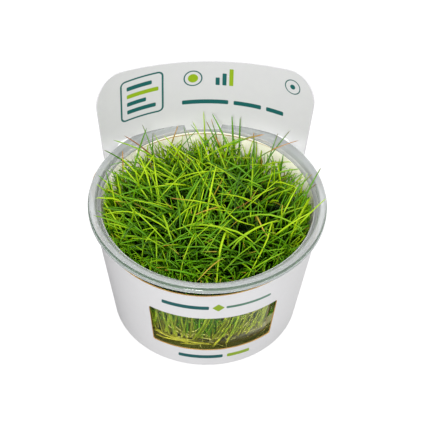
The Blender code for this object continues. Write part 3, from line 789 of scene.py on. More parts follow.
def paint_inside_glow(tree, shader, card_colour):
    """Paint a glow on the inside of the card at the back, as painted light. Returns its colour, paler below
    the rim.
    """
    place = split(tree, object_place(tree))
    low = ease(tree, place["Z"], *GLOW_ENDS, PAINTED_INSIDE_GLOW, 0.0)
    glow = arithmetic(tree, "MULTIPLY", low, ease(tree, place["Y"], *BACK_STARTS))
    tree.links.new(glow, shader.inputs["Emission Strength"])
    set_values(shader, {"Emission Color": INSIDE_AND_GLOW_COLOUR})
    return mix_colours(tree, ease(tree, place["Z"], *INSIDE_ENDS, 1.0, 0.0), card_colour, INSIDE_AND_GLOW_COLOUR)


def card_finish(name, card_colour, marks, painted_glow_inside=False):
    """Coated white card: a faint fibre cloud, a satin shine and the print, with a painted glow inside where
    asked.
    """
    card, tree, shader = new_material(name)
    if painted_glow_inside:
        card_colour = paint_inside_glow(tree, shader, card_colour)
    tone, grain = dress(tree, shader, card_colour, CARD_CLOUDS, CARD_GRAIN)
    colour = tone["Colour"]
    sheet = add_node(tree, "ShaderNodeAttribute", attribute_name="sheet").outputs["Vector"]
    for (across, up), (wide, high), corner, line, turn, ink in marks:
        mask = place_group(tree, PRINT_MARK, {
            "Sheet": sheet,
            "Middle": (across * MM, up * MM, 0.0),
            "Half size": (wide * MM, high * MM, 0.0),
            "Corner": corner * MM,
            "Line": line * MM if line != SOLID else SOLID,
            "Turn": math.radians(turn),
        })["Mask"]
        colour = mix_colours(tree, mask, colour, ink)
    tree.links.new(colour, shader.inputs["Base Color"])
    add_bump(tree, shader, grain["Height"], *CARD_BUMP)
    set_values(shader, CARD_COAT)
    return card


def cut_edge_finish():
    """The brown core of the card, which shows where the sheet was cut."""
    edge, tree, shader = new_material("cut card edge")
    _, grain = dress(tree, shader, KRAFT_COLOUR, KRAFT_CLOUDS, KRAFT_GRAIN)
    add_bump(tree, shader, grain["Height"], KRAFT_BUMP)
    return edge


CARD_FINISHES = [
    card_finish("plain card", SHADED_PANEL_COLOUR, ()),
    card_finish("printed panel", SHADED_PANEL_COLOUR, PANEL_MARKS, painted_glow_inside=True),
    card_finish("printed band", CARD_COLOUR, BAND_MARKS),
    cut_edge_finish(),
]
PLAIN, PANEL_PRINT, BAND_PRINT, CUT_EDGE = range(4)
print("card finishes:", ", ".join(finish.name for finish in CARD_FINISHES))

# %% [markdown]
# ## Wrapping the card
# The flat sheet gets two skins, half a card's thickness out and in from its middle, and a
# strip of faces along every cut. The two ends of the sheet meet at the right side of the cup.
# Each point keeps its place on the flat sheet as an attribute, which the print reads.

# %% Build the card sleeve
LEVEL_CATCH = 0.00006
PLACE_DIGITS = 6
ENDS_MEET = 1e-5
BLANK_BACK = -0.5


def joined_ends(places):
    """For each point of the flat sheet, the point it becomes when the sheet's ends are joined."""
    ends = {round(height, PLACE_DIGITS): index for index, (angle, height) in enumerate(places)
            if abs(angle - SEAM_END) < ENDS_MEET}
    joined = np.arange(len(places))
    for index, (angle, height) in enumerate(places):
        if abs(angle - SEAM_START) < ENDS_MEET:
            joined[index] = ends[round(height, PLACE_DIGITS)]
    return joined


def places_from_front(angle, height, points):
    """Where each point of the outer skin is on the flat sheet, from the middle of the front."""
    from_front = np.where(angle < 0, angle + math.pi, angle - math.pi)
    across = -from_front * np.hypot(points[:, 0], points[:, 1])
    up = np.where(np.abs(angle) < math.pi / 2, BLANK_BACK, height)
    return np.stack([across, up, np.zeros_like(height)], axis=1)


def places_on_panel(height, points):
    """Where each point of the inner skin is, from the middle of the panel at the rim's height."""
    bend = np.arctan2(points[:, 0], points[:, 1] - panel_centre(height))
    up = (height - RIM_TOP) / math.cos(PANEL_LEAN)
    return np.stack([bend * PANEL_BEND_RADIUS, up, np.zeros_like(up)], axis=1)


def build_sleeve():
    """The wrapped card, with its two skins and its cut edges."""
    angle, height = SHEET[:, 0], SHEET[:, 1]
    faces = joined_ends(SHEET)[SHEET_FACES]
    middle = sleeve_radius(angle, height)
    skins = []
    for offset in (CARD / 2, -CARD / 2):
        radius = middle + offset
        skins.append(np.stack([radius * np.sin(angle), radius * np.cos(angle), height], axis=1))
    count = len(SHEET)
    sides = np.concatenate([faces[:, [0, 1]], faces[:, [1, 2]], faces[:, [2, 0]]])
    known = {tuple(side) for side in sides.tolist()}
    borders = [side for side in sides.tolist() if (side[1], side[0]) not in known]
    outer = faces[:, ::-1]
    inner = faces + count
    ribbons = [(start, stop, stop + count, start + count) for start, stop in borders]
    cut_height = height[[start for start, _ in borders]]
    finish = np.concatenate([
        np.full(len(faces), BAND_PRINT), np.full(len(faces), PANEL_PRINT),
        np.where(cut_height > SLEEVE_TOP + LEVEL_CATCH, PLAIN, CUT_EDGE),
    ])
    verts = np.concatenate(skins)
    all_faces = outer.tolist() + inner.tolist() + ribbons
    piece = add_piece("card_sleeve", verts.tolist(), all_faces, CARD_FINISHES, ["sleeve"],
                      face_finish=finish.astype(np.int32))
    places = np.concatenate([places_from_front(angle, height, skins[0]), places_on_panel(height, skins[1])])
    sheet = piece.data.attributes.new("sheet", "FLOAT_VECTOR", "POINT")
    sheet.data.foreach_set("vector", places.astype(np.float32).ravel())
    bm = bmesh.new()
    bm.from_mesh(piece.data)
    loose = [vert for vert in bm.verts if not vert.link_faces]
    bmesh.ops.delete(bm, geom=loose, context="VERTS")
    bmesh.ops.recalc_face_normals(bm, faces=bm.faces)
    bm.to_mesh(piece.data)
    bm.free()
    return piece


sleeve = build_sleeve()
print("card sleeve:", len(sleeve.data.polygons), "faces")

# %% [markdown]
# ## The clear cup
# The cup is one injection moulding of clear plastic: a tapered wall on a flat floor, an inner lip, a groove
# for the lid, and a hollow stepped rim. Turning one rounded section about the axis gives all of it, and real
# thickness lets light bend at both faces of the wall. Blender could fake it with alpha, but then the rim
# would not show its grey and green edges. The darker green of its step is painted shade.

# %% Section of the cup
CUP_SIDES = 160
GAP = 0.0003
RIM_INNER_RADIUS = 0.0441
WALL, FLOOR = 0.0009, 0.0011
BASE_RADIUS, BASE_EDGE = 0.0371, 0.0012
WALL_TOP, WALL_TOP_RADIUS = 0.0536, 0.0435
SHOULDER_DROP = 0.7 * WALL
SKIRT_DEPTH, SKIRT_WALL = 0.0031, 0.0008
SKIRT_STEP_DOWN, SKIRT_STEP = 0.0015, 0.0003
LIP_RADIUS, LIP_WIDTH, LIP_DROP, LIP_DEPTH = 0.0424, 0.0005, 0.0025, 0.0009
GROOVE_DROP = 0.0029
INNER_EDGE = 0.0015
SOFT, CRISP = 0.0005, 0.0002


def wall_radius(height):
    """Outer radius of the cup's tapered wall at a height."""
    return BASE_RADIUS + (WALL_TOP_RADIUS - BASE_RADIUS) * height / WALL_TOP


def cup_section():
    """Section of the cup from the middle of its underside round the rim to its inner floor."""
    step = RIM_TOP - SKIRT_STEP_DOWN
    lip_top = RIM_TOP - LIP_DROP
    groove = RIM_TOP - GROOVE_DROP
    skirt_inside = RIM_RADIUS - SKIRT_WALL
    lip_foot = lip_top - LIP_DEPTH
    return rounded([
        (0.0, 0.0, 0.0),
        (BASE_RADIUS, 0.0, BASE_EDGE),
        (WALL_TOP_RADIUS, WALL_TOP, SOFT),
        (RIM_INNER_RADIUS + WALL, groove - SHOULDER_DROP, SOFT),
        (RIM_INNER_RADIUS + WALL, RIM_TOP - WALL, CRISP),
        (skirt_inside, RIM_TOP - WALL, CRISP),
        (skirt_inside, RIM_TOP - SKIRT_DEPTH, CRISP),
        (RIM_RADIUS, RIM_TOP - SKIRT_DEPTH, CRISP),
        (RIM_RADIUS, step, CRISP),
        (RIM_RADIUS - SKIRT_STEP, step + SKIRT_STEP, CRISP),
        (RIM_RADIUS - SKIRT_STEP, RIM_TOP, SOFT),
        (RIM_INNER_RADIUS, RIM_TOP, INNER_EDGE),
        (RIM_INNER_RADIUS, groove, CRISP),
        (LIP_RADIUS + LIP_WIDTH, groove, CRISP),
        (LIP_RADIUS + LIP_WIDTH, lip_top, CRISP),
        (LIP_RADIUS, lip_top, CRISP),
        (wall_radius(lip_foot) - WALL, lip_foot, CRISP),
        (wall_radius(FLOOR) - WALL, FLOOR, 2 * SOFT),
        (0.0, FLOOR, 0.0),
    ])


print("cup section:", len(cup_section()), "points, to be turned in", CUP_SIDES, "steps")

# %% [markdown]
# ## The finishes of the cup
# The wall is clear, and wet where leaves and gel lie against it, so it bends light less than dry plastic. The
# thick rim is milky, its step is greener and painted darker as painted shade, and its skirt is milkier still.
# All of them could be one clear plastic, but the real rim is cloudy from the mould. A shadow ray stops at
# clear plastic in the render, while real light goes through it, so the cup casts no shadow.

# %% Build the clear cup
PLASTIC_BENDING, WET_WALL_BENDING = 1.49, 1.22
PLASTIC_TINT, PLASTIC_TINT_DENSITY = (0.80, 0.83, 0.815, 1.0), 18.0
PLASTIC_CLOUDS, PLASTIC_BUMP = (60.0, 0.006), (0.00002, 0.1)
PLASTIC_GRAIN_SCALE, PLASTIC_GRAIN_SWING = 180.0, 0.03


def clear_plastic(name, colour, roughness, clearness, bending):
    """Clear plastic with a faint green-grey body tint and slightly uneven shine."""
    plastic, tree, shader = new_material(name)
    grain = (PLASTIC_GRAIN_SCALE, roughness, PLASTIC_GRAIN_SWING)
    tone, _ = dress(tree, shader, colour, PLASTIC_CLOUDS, grain)
    add_bump(tree, shader, tone["Clouds"], *PLASTIC_BUMP)
    set_values(shader, {"Transmission Weight": clearness, "IOR": bending})
    tint_through(tree, PLASTIC_TINT, PLASTIC_TINT_DENSITY)
    return plastic


CUP_FINISHES = [
    clear_plastic("clear wall", (0.94, 0.93, 0.78, 1.0), 0.06, 1.0, WET_WALL_BENDING),
    clear_plastic("milky rim", (0.60, 0.62, 0.62, 1.0), 0.26, 0.62, PLASTIC_BENDING),
    # The step: the same plastic, greener and painted darker as painted shade
    clear_plastic("green rim step with painted shade", (0.22, 0.31, 0.23, 1.0), 0.12, 0.70, PLASTIC_BENDING),
    clear_plastic("milky skirt", (0.72, 0.77, 0.77, 1.0), 0.14, 0.60, PLASTIC_BENDING),
]
CLEAR, MILKY, GREEN_STEP_IN_SHADE, SKIRT = range(4)


def cup_finish(face):
    """Finish of a face of the cup: clear wall, milky flange, a greener step painted darker as painted shade,
    a milkier skirt.
    """
    middle = sum((Vector(cup_verts[index]) for index in face), Vector()) / len(face)
    radius = math.hypot(middle.x, middle.y)
    if radius < LIP_RADIUS or middle.z < RIM_TOP - GROOVE_DROP - WALL:
        return CLEAR
    outside = radius > RIM_RADIUS - SKIRT_WALL / 2
    on_step = RIM_TOP - SKIRT_STEP_DOWN < middle.z < RIM_TOP - SOFT / 3
    if outside and on_step:
        return GREEN_STEP_IN_SHADE
    return SKIRT if outside and middle.z < RIM_TOP - SOFT else MILKY


cup_verts, cup_faces = turned(cup_section(), CUP_SIDES)
finish_of_faces = np.array([cup_finish(face) for face in cup_faces], dtype=np.int32)
cup = add_piece("clear_cup", cup_verts, cup_faces, CUP_FINISHES, ["cup"],
                face_finish=finish_of_faces)
cup.visible_shadow = False
print("clear cup:", len(cup_faces), "faces, outer radius", round(RIM_RADIUS / MM, 1), "mm")

# %% [markdown]
# ## The gel
# Plants in such cups grow on a disc of clear nutrient gel instead of soil. It is softer and
# cloudier than the plastic, climbs a little where it meets the wall, and takes a yellow-green
# tint from the roots in it. Its own turned section keeps it apart from the wall.

# %% Build the gel
GEL_TOP = 0.0150
MENISCUS_RISE, MENISCUS_WIDTH = 0.0006, 0.0015
GEL_SIDES = 128
GEL_COLOUR, GEL_CLOUDS = (0.97, 0.98, 0.86, 1.0), (140.0, 0.02)
GEL_GRAIN, GEL_BUMP = (700.0, 0.16, 0.16), (0.0003, 0.6)
GEL_LIGHT = {"Transmission Weight": 1.0, "IOR": 1.34}
GEL_TINT, GEL_TINT_DENSITY = (0.76, 0.80, 0.34, 1.0), 32.0


def gel_section():
    """Section of the gel from the middle of its underside to the middle of its top."""
    foot = FLOOR + GAP
    climb = GEL_TOP + MENISCUS_RISE
    edge = wall_radius(climb) - WALL - GAP
    return rounded([
        (0.0, foot, 0.0),
        (wall_radius(foot) - WALL - GAP, foot, 2 * SOFT),
        (edge, climb, CRISP),
        (edge - MENISCUS_WIDTH, GEL_TOP, MENISCUS_WIDTH),
        (edge / 2, GEL_TOP, SOFT),
        (0.0, GEL_TOP, 0.0),
    ])


def gel_finish():
    """Soft clear gel: wet shine, faint cloud and a yellow-green tint through its depth."""
    gel, tree, shader = new_material("nutrient gel")
    tone, _ = dress(tree, shader, GEL_COLOUR, GEL_CLOUDS, GEL_GRAIN)
    add_bump(tree, shader, tone["Clouds"], *GEL_BUMP)
    set_values(shader, GEL_LIGHT)
    tint_through(tree, GEL_TINT, GEL_TINT_DENSITY)
    return gel


gel_verts, gel_faces = turned(gel_section(), GEL_SIDES)
gel = add_piece("clear_gel", gel_verts, gel_faces, [gel_finish()], ["nutrient_gel"])
print("gel from", round((FLOOR + GAP) / MM, 1), "to", round(GEL_TOP / MM, 1), "mm")

# %% [markdown]
# ## Where the main leaves run
# Each tuft of the model is a crown with seven plain leaves. Their middle lines could be typed
# in again, but when they are read from the solid, both models stay the same. A walk goes down
# each leaf ring by ring, from its tip, where just three edges meet.

# %% Read the main leaves
SAME_POINT = 1e-6
EDGES_AT_TIP, RINGS_PER_LEAF = 3, 4
CROWN_HEIGHT = 0.0034


def read_main_leaves(node):
    """The crown's middle and the paths of the main leaves, foot first, of a tuft's plain solid."""
    bm = bmesh.new()
    bm.from_mesh(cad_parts[node].data)
    bmesh.ops.remove_doubles(bm, verts=bm.verts, dist=SAME_POINT)
    paths = []
    for tip in bm.verts:
        if len(tip.link_edges) != EDGES_AT_TIP:
            continue
        before, ring = {tip}, {edge.other_vert(tip) for edge in tip.link_edges}
        path = [tip.co.copy()]
        for _ in range(RINGS_PER_LEAF):
            path.append(sum((vert.co for vert in ring), Vector()) / len(ring))
            after = {edge.other_vert(vert) for vert in ring for edge in vert.link_edges} - ring - before
            before, ring = ring, after
        paths.append(path[::-1])
    crown = [vert.co for vert in bm.verts if vert.co.z < GEL_TOP + CROWN_HEIGHT]
    middle = sum(crown, Vector()) / len(crown)
    bm.free()
    return np.array(middle), np.array(paths)


MAIN_LEAVES = {node: read_main_leaves(node) for node in TUFTS}
CROWNS = np.array([crown for crown, _ in MAIN_LEAVES.values()])
print("main leaves:", sum(len(paths) for _, paths in MAIN_LEAVES.values()), "on", len(CROWNS), "crowns")

# %% [markdown]
# ## Smooth lines through a few points
# Every leaf and root is a smooth line through a few points. Curves of Blender could draw them
# one by one, but thousands of lines are quicker to compute together as arrays.

# %% Smooth lines
LAST_RING = 0.978


def tip_shares(steps):
    """How far along a leaf its rings stand: even, but the last one just behind the blunt tip."""
    return np.append(np.linspace(0, LAST_RING, steps), 1.0)


def smooth_paths(knots, steps):
    """Smooth curves of even steps through a few knots each."""
    gaps = np.linalg.norm(np.diff(knots, axis=1), axis=2)
    times = np.concatenate([np.zeros((len(knots), 1)), np.cumsum(gaps, axis=1)], axis=1)
    ways = np.diff(knots, axis=1) / gaps[:, :, None]
    inner = (ways[:, :-1] * gaps[:, 1:, None] + ways[:, 1:] * gaps[:, :-1, None])
    inner = inner / (gaps[:, 1:] + gaps[:, :-1])[:, :, None]
    first = 2 * ways[:, :1] - inner[:, :1]
    last = 2 * ways[:, -1:] - inner[:, -1:]
    tangents = np.concatenate([first, inner, last], axis=1)
    wanted = times[:, -1:] * tip_shares(steps)
    curves = np.zeros((len(knots), steps + 1, 3))
    for index in range(len(knots)):
        piece = np.clip(np.searchsorted(times[index], wanted[index], side="right") - 1, 0, gaps.shape[1] - 1)
        gap = gaps[index, piece][:, None]
        share = (wanted[index] - times[index, piece])[:, None] / gap
        a, b = knots[index, piece], knots[index, piece + 1]
        ta, tb = tangents[index, piece] * gap, tangents[index, piece + 1] * gap
        curves[index] = (
            (2 * share ** 3 - 3 * share ** 2 + 1) * a + (share ** 3 - 2 * share ** 2 + share) * ta
            + (3 * share ** 2 - 2 * share ** 3) * b + (share ** 3 - share ** 2) * tb
        )
    return curves


print("smooth lines ready")

# %% [markdown]
# ## Leaves as tapering tubes
# A leaf of this plant is a soft green needle, slightly flat, that arches over and ends in a
# point. Hair curves would be quick, but a real mesh can be measured and exported. So an oval
# ring is laid round each point of every middle line, and the rings are joined.

# %% Leaf tubes
# From this share of its length on a leaf narrows, by this share of its width
TAPER_FROM, TAPERS_BY = 0.84, 0.55
# Before that it is a little under its full width, and swells once on the way
PLAIN_WIDTH, SWELLS_BY, SWELL_RATE = 0.82, 0.18, 1.6
# One keeps off a division by zero, the other gives a leaf that stands straight up a side
NO_LENGTH, SLIGHTLY_UP = 1e-12, 1e-5


def unit(vectors):
    """The same directions with a length of 1."""
    return vectors / (np.linalg.norm(vectors, axis=-1, keepdims=True) + NO_LENGTH)


def tube_faces(count, length, sides):
    """Faces of many tubes: the walls between their rings, their pointed tips and closed feet."""
    each = (length - 1) * sides + 1
    ring = np.arange(sides)
    after = (ring + 1) % sides
    level = (np.arange(length - 2) * sides)[:, None]
    corners = [level + ring, level + after, level + sides + after, level + sides + ring]
    walls = np.stack(corners, axis=2).reshape(-1, 4)
    top = (length - 2) * sides
    tips = np.stack([top + ring, top + after, np.full(sides, each - 1)], axis=1)
    starts = (np.arange(count) * each)[:, None, None]
    faces = (walls[None] + starts).reshape(-1, 4).tolist()
    faces += (tips[None] + starts).reshape(-1, 3).tolist()
    faces += (ring[::-1][None, None, :] + starts).reshape(-1, sides).tolist()
    return faces


def tubes(curves, widths, flatness, sides, twist):
    """Oval tubes round many curves: points, faces, and how far along its leaf each point is."""
    count, length = curves.shape[:2]
    along = unit(np.gradient(curves, axis=1))
    reach = curves[:, -1] - curves[:, 0]
    across = unit(np.stack([-reach[:, 1], reach[:, 0], np.full(count, SLIGHTLY_UP)], axis=1))
    side = unit(across[:, None, :] - along * np.einsum("ik,ijk->ij", across, along)[:, :, None])
    over = np.cross(along, side)
    share = tip_shares(length - 1)
    taper = np.where(share < TAPER_FROM, 1.0, 1.0 - TAPERS_BY * (share - TAPER_FROM) / (1 - TAPER_FROM))
    swell = taper * (PLAIN_WIDTH + SWELLS_BY * np.sin(np.pi * np.minimum(share * SWELL_RATE, 1.0)))
    radius = 0.5 * widths[:, None] * swell[None, :]
    angles = 2 * np.pi * np.arange(sides) / sides
    turn = twist[:, :1] + twist[:, 1:] * share[None, :]
    wide, thick = np.cos(angles)[None, None, :], flatness * np.sin(angles)[None, None, :]
    cos, sin = np.cos(turn)[:, :, None], np.sin(turn)[:, :, None]
    first = (wide * cos - thick * sin) * radius[:, :, None]
    second = (wide * sin + thick * cos) * radius[:, :, None]
    rings = curves[:, :, None, :] + side[:, :, None, :] * first[..., None]
    rings = rings + over[:, :, None, :] * second[..., None]
    body = rings[:, :-1].reshape(count, -1, 3)
    verts = np.concatenate([body, curves[:, -1:]], axis=1)
    shares = np.concatenate([np.repeat(share[:-1], sides), [1.0]])
    return verts.reshape(-1, 3), tube_faces(count, length, sides), shares


print("leaf tubes ready")

# %% [markdown]
# ## The shape of the mat
# The real mat fills the cup like a low cushion: a flat dome that is lower at the back and at
# both sides. Leaves that reach past the wall could be cut off there, but real ones lie against
# it, so they are bent back softly, and those that lie against the tall panel too.

# %% Shape of the mat
MAT_LOW, MAT_HIGH = GEL_TOP + 0.0012, 0.0580
# By how much the mat is lower, and between which distances from the axis it falls
BACK_FALL, BACK_FALLS = 0.007, (0.016, 0.040)
RIGHT_FALL, RIGHT_FALLS = 0.005, (0.024, 0.041)
LEFT_FALL, LEFT_FALLS = 0.002, (0.026, 0.041)
WALL_ROOM, WALL_CATCH = 0.0006, 0.0025
PANEL_ROOM, PANEL_CATCH = 0.0012, 0.004
LIP_ZONE_LOW, LIP_ZONE_HIGH = RIM_TOP - 0.0045, RIM_TOP + 0.0014
# Keeps off a division by zero on the axis
NO_RADIUS = 1e-9


def mat_top(x, y):
    """Height of the top of the mat: a low dome that falls towards the back and the sides."""
    back = BACK_FALL * smooth_step(*BACK_FALLS, y)
    right = RIGHT_FALL * smooth_step(*RIGHT_FALLS, x)
    left = LEFT_FALL * smooth_step(*LEFT_FALLS, -x)
    return MAT_HIGH - back - right - left


def kept_inside(curves):
    """Leaves pressed softly against the wall and the panel, where they would pass through."""
    x, y, z = (curves[..., axis] for axis in range(3))
    room = np.where(z < LIP_ZONE_LOW, wall_radius(z) - WALL - WALL_ROOM, LIP_RADIUS - WALL_ROOM)
    room = np.where(z > LIP_ZONE_HIGH, RIM_RADIUS - WALL_ROOM, room)
    start = room - WALL_CATCH
    radius = np.hypot(x, y)
    over = np.maximum(radius - start, 0.0)
    held = np.where(over > 0, start + (room - start) * (1 - np.exp(-over / (room - start))), radius)
    scale = held / np.maximum(radius, NO_RADIUS)
    held_x, held_y = x * scale, y * scale
    bend = PANEL_BEND_RADIUS - np.sqrt(PANEL_BEND_RADIUS ** 2 - held_x ** 2)
    panel = PANEL_AT_RIM - bend - PANEL_ROOM
    held_y = np.where((z > RIM_TOP - PANEL_CATCH) & (held_y > panel), panel, held_y)
    return np.stack([held_x, held_y, np.maximum(z, MAT_LOW)], axis=-1)


print("mat from", round(MAT_LOW / MM, 1), "to", round(MAT_HIGH / MM, 1), "mm")

# %% [markdown]
# ## How the mat grows
# The model's tufts carry seven main leaves each, and a real tuft has hundreds of finer ones.
# They could be copies of one tuft, but copies show in so open a plant, so each fine leaf gets
# its own heading, length and arch. They fan out from a point beside the middle of the mat.
# More leaves are drawn than are needed, and those that fit inside the wall best are kept.

# %% Fine leaves
FAN_CENTRE = np.array((0.0100, 0.0040))
FOOT_SPREAD = 0.0042
FINE_STEPS = 10
CANDIDATES = 5
# Between these distances from the axis a tuft turns from an inner one to an outer one. Of each
# pair below, the first value is that of an inner tuft, and an outer one adds the second to it
OUTER_TUFTS = (0.016, 0.030)
FAN_SWING = (0.85, -0.3)
IN_FAN = (0.6, 0.25)
UPRIGHT = (0.15, 0.35)
# Spreads and ranges of what is drawn at random, in radians and metres
FOOT_LEAN = 0.22
UPRIGHT_LEAN, ARCHED_LEAN = (0.1, 0.7), (0.9, 2.1)
ARCH_POWER = (1.1, 2.4)
HEADING_DRIFT = 0.55
# Leaves that lie on top (True) and those in the thick of the mat (False)
LEAF_LENGTH = {True: (0.060, 0.082), False: (0.040, 0.072)}
SHARE_OF_TOP = {True: (0.98, 1.10), False: (0.50, 1.02)}
LEAST_SCALE = {True: 0.72, False: 0.30}
MOST_PRESSED, MOST_DRAWN_IN = 0.003, 0.12
# Keeps off a division by zero at the foot of a leaf
NO_HEIGHT = 1e-6


def directions(lean, way):
    """Directions from how far each leans from upright and which way round it points."""
    return np.stack([np.sin(lean) * np.cos(way), np.sin(lean) * np.sin(way), np.cos(lean)], axis=-1)


def grown_from(foot, steps):
    """Lines that start at each foot and go on by the given steps."""
    return np.concatenate([np.zeros((len(steps), 1, 3)), steps], axis=1) + foot[:, None, :]


def drawn_in(curves):
    """Leaves that reach past the wall stand more upright, so that their tips end at the wall."""
    foot = curves[:, :1, :2]
    reach = np.hypot(curves[..., 0], curves[..., 1])
    room = LIP_RADIUS - WALL_ROOM - np.hypot(foot[..., 0], foot[..., 1])
    away = np.where(reach > LIP_RADIUS, np.linalg.norm(curves[..., :2] - foot, axis=2), 0.0)
    farthest = np.maximum(away.max(axis=1, keepdims=True), NO_HEIGHT)
    scale = np.clip((room + MOST_PRESSED) / farthest, MOST_DRAWN_IN, 1.0)
    curves[..., :2] = foot + (curves[..., :2] - foot) * scale[..., None]
    return curves, scale[:, 0]


def fine_leaves(rng, crown, wanted, on_top):
    """Middle lines of fine leaves of one tuft: the thick of the mat, or long ones that lie on top."""
    count = wanted * CANDIDATES
    turn = rng.uniform(0, 2 * np.pi, count)
    spread = FOOT_SPREAD * np.sqrt(rng.uniform(0, 1, count))
    foot = np.stack([crown[0] + spread * np.cos(turn), crown[1] + spread * np.sin(turn),
                     np.full(count, MAT_LOW)], axis=1)
    away = crown[:2] - FAN_CENTRE
    out = smooth_step(*OUTER_TUFTS, math.hypot(crown[0], crown[1]))
    swing, in_fan, upright = (value + out * more for value, more in (FAN_SWING, IN_FAN, UPRIGHT))
    fan = math.atan2(away[1], away[0]) + rng.normal(0, swing, count)
    fanned = rng.uniform(0, 1, count) < in_fan
    heading = np.where(fanned, fan, rng.uniform(-np.pi, np.pi, count))
    stands = rng.uniform(0, 1, count) < (0.0 if on_top else upright)
    length = rng.uniform(*LEAF_LENGTH[on_top], count)
    low = np.abs(rng.normal(0, FOOT_LEAN, count))
    high = np.where(stands, rng.uniform(*UPRIGHT_LEAN, count), rng.uniform(*ARCHED_LEAN, count))
    power = rng.uniform(*ARCH_POWER, count)
    drift = rng.normal(0, HEADING_DRIFT, count)
    share = (np.arange(FINE_STEPS) + 0.5) / FINE_STEPS
    lean = low[:, None] + (high - low)[:, None] * share[None, :] ** power[:, None]
    ways = directions(lean, heading[:, None] + drift[:, None] * share[None, :])
    steps = np.cumsum(ways * np.diff(tip_shares(FINE_STEPS))[None, :, None], axis=1)
    curves = grown_from(foot, steps * length[:, None, None])
    share_of_top = rng.uniform(*SHARE_OF_TOP[on_top], count)
    top = mat_top(curves[..., 0], curves[..., 1]) * share_of_top[:, None]
    excess = (top - MAT_LOW) / np.maximum(curves[..., 2] - MAT_LOW, NO_HEIGHT)
    squeeze = np.minimum(1.0, excess.min(axis=1))
    curves[..., 2] = MAT_LOW + (curves[..., 2] - MAT_LOW) * squeeze[:, None]
    curves, scale = drawn_in(curves)
    order = np.argsort(-np.minimum(scale, LEAST_SCALE[on_top]), kind="stable")
    return kept_inside(curves[order[:wanted]])


print("fine leaves:", CANDIDATES, "drawn for each one that is kept")

# %% [markdown]
# ## Painted shade and dryness along a leaf
# Leaves deep in the mat are dark, those on its top and its outside are lit, a few are dead and some have a
# brown tip. Ray tracing finds most of this shade by itself, but thousands of thin leaves come out too even,
# so each point of a leaf carries a little painted shade in its colour.

# %% Looks along a leaf
TONE, TONE_SWING, LEAST_TONE = 0.66, 0.26, 0.14
# Painted shade by how far a point is below the top of the mat. The outside counts as so much higher
SHADE_LOW, SHADE_HIGH = -0.0135, 0.0022
SHADE_OUTSIDE, OUTSIDE_STARTS = 0.020, (0.034, 0.038)
BACK_BRIGHTER, BACK_BRIGHTENS = 0.20, (-0.006, 0.032)
FRONT_DARKER, FRONT_DARKENS = 0.30, (0.006, 0.036)
NEAR_WALL_LIGHT, NEAR_WALL_STARTS = 0.44, (0.024, 0.034)
BROWN_TIPS, BROWN_FROM, BROWN_FADE = 0.08, (0.88, 0.985), 0.04
DRY_HUE, DEAD_DRYNESS = (1.2, 1.4), (0.55, 1.0)
DRY_IN_SHADE, DRY_IN_LIGHT = 0.3, 0.7


def painted_light_at(points):
    """How much painted light each point gets, from its depth in the mat, its side of the cup and the wall."""
    radius, height = np.hypot(points[:, 0], points[:, 1]), points[:, 2]
    under = height - mat_top(points[:, 0], points[:, 1])
    outside = SHADE_OUTSIDE * smooth_step(*OUTSIDE_STARTS, radius)
    light = smooth_step(SHADE_LOW, SHADE_HIGH, under + outside)
    brighter = BACK_BRIGHTER * smooth_step(*BACK_BRIGHTENS, points[:, 1])
    darker = FRONT_DARKER * smooth_step(*FRONT_DARKENS, -points[:, 1])
    near_wall = NEAR_WALL_LIGHT * smooth_step(*NEAR_WALL_STARTS, radius) * (height < WINDOW_HIGH)
    return np.maximum(light * (1.0 + brighter - darker), near_wall)


def leaf_looks(rng, points, shares, dead_share):
    """For each point: greenness with painted shade from dark to light, dryness, and the colour it dries to.
    """
    each = len(shares)
    count = len(points) // each
    tone = np.clip(rng.normal(TONE, TONE_SWING, count), LEAST_TONE, 1)
    light = painted_light_at(points)
    dead = rng.uniform(0, 1, count) < dead_share
    brown_tip = rng.uniform(0, 1, count) < BROWN_TIPS
    tip_from = rng.uniform(*BROWN_FROM, count)
    dry_hue = rng.beta(*DRY_HUE, count)
    body = np.where(dead, rng.uniform(*DEAD_DRYNESS, count), 0.0)
    fade = np.clip((shares[None, :] - tip_from[:, None]) / BROWN_FADE, 0, 1)
    tip = np.where(brown_tip, 1.0, 0.0)[:, None] * fade
    dryness = np.clip(body[:, None] + tip, 0, 1).ravel() * (DRY_IN_SHADE + DRY_IN_LIGHT * light)
    return np.stack([np.repeat(tone, each) * light, dryness, np.repeat(dry_hue, each)], axis=-1)


print("share of leaves with a brown tip:", BROWN_TIPS)

# %% [markdown]
# ## Roots
# Thin pale roots leave each crown: some wander down through the gel, some curl up over it.
# They could be drawn as a texture in the gel, but real roots are seen from all sides through
# the clear wall. They keep clear of the cup's floor and wall.

# %% Roots
ROOTS, ROOT_STEPS = 8, 12
ROOT_LENGTH = (0.010, 0.024)
CURLING_UP = 0.45
# Lean in radians at the start and at the end, of roots that curl up and of those that go down
UP_START, UP_END = (0.8, 1.5), (1.4, 2.6)
DOWN_START, DOWN_END = (1.7, 2.6), (1.2, 2.4)
ROOT_CURL = 1.8
ROOT_RISE, ROOT_SCATTER, SCATTER_SHAPE = 0.001, 0.0012, (1, 1, 0.4)
ROOT_ROOM = 0.0008


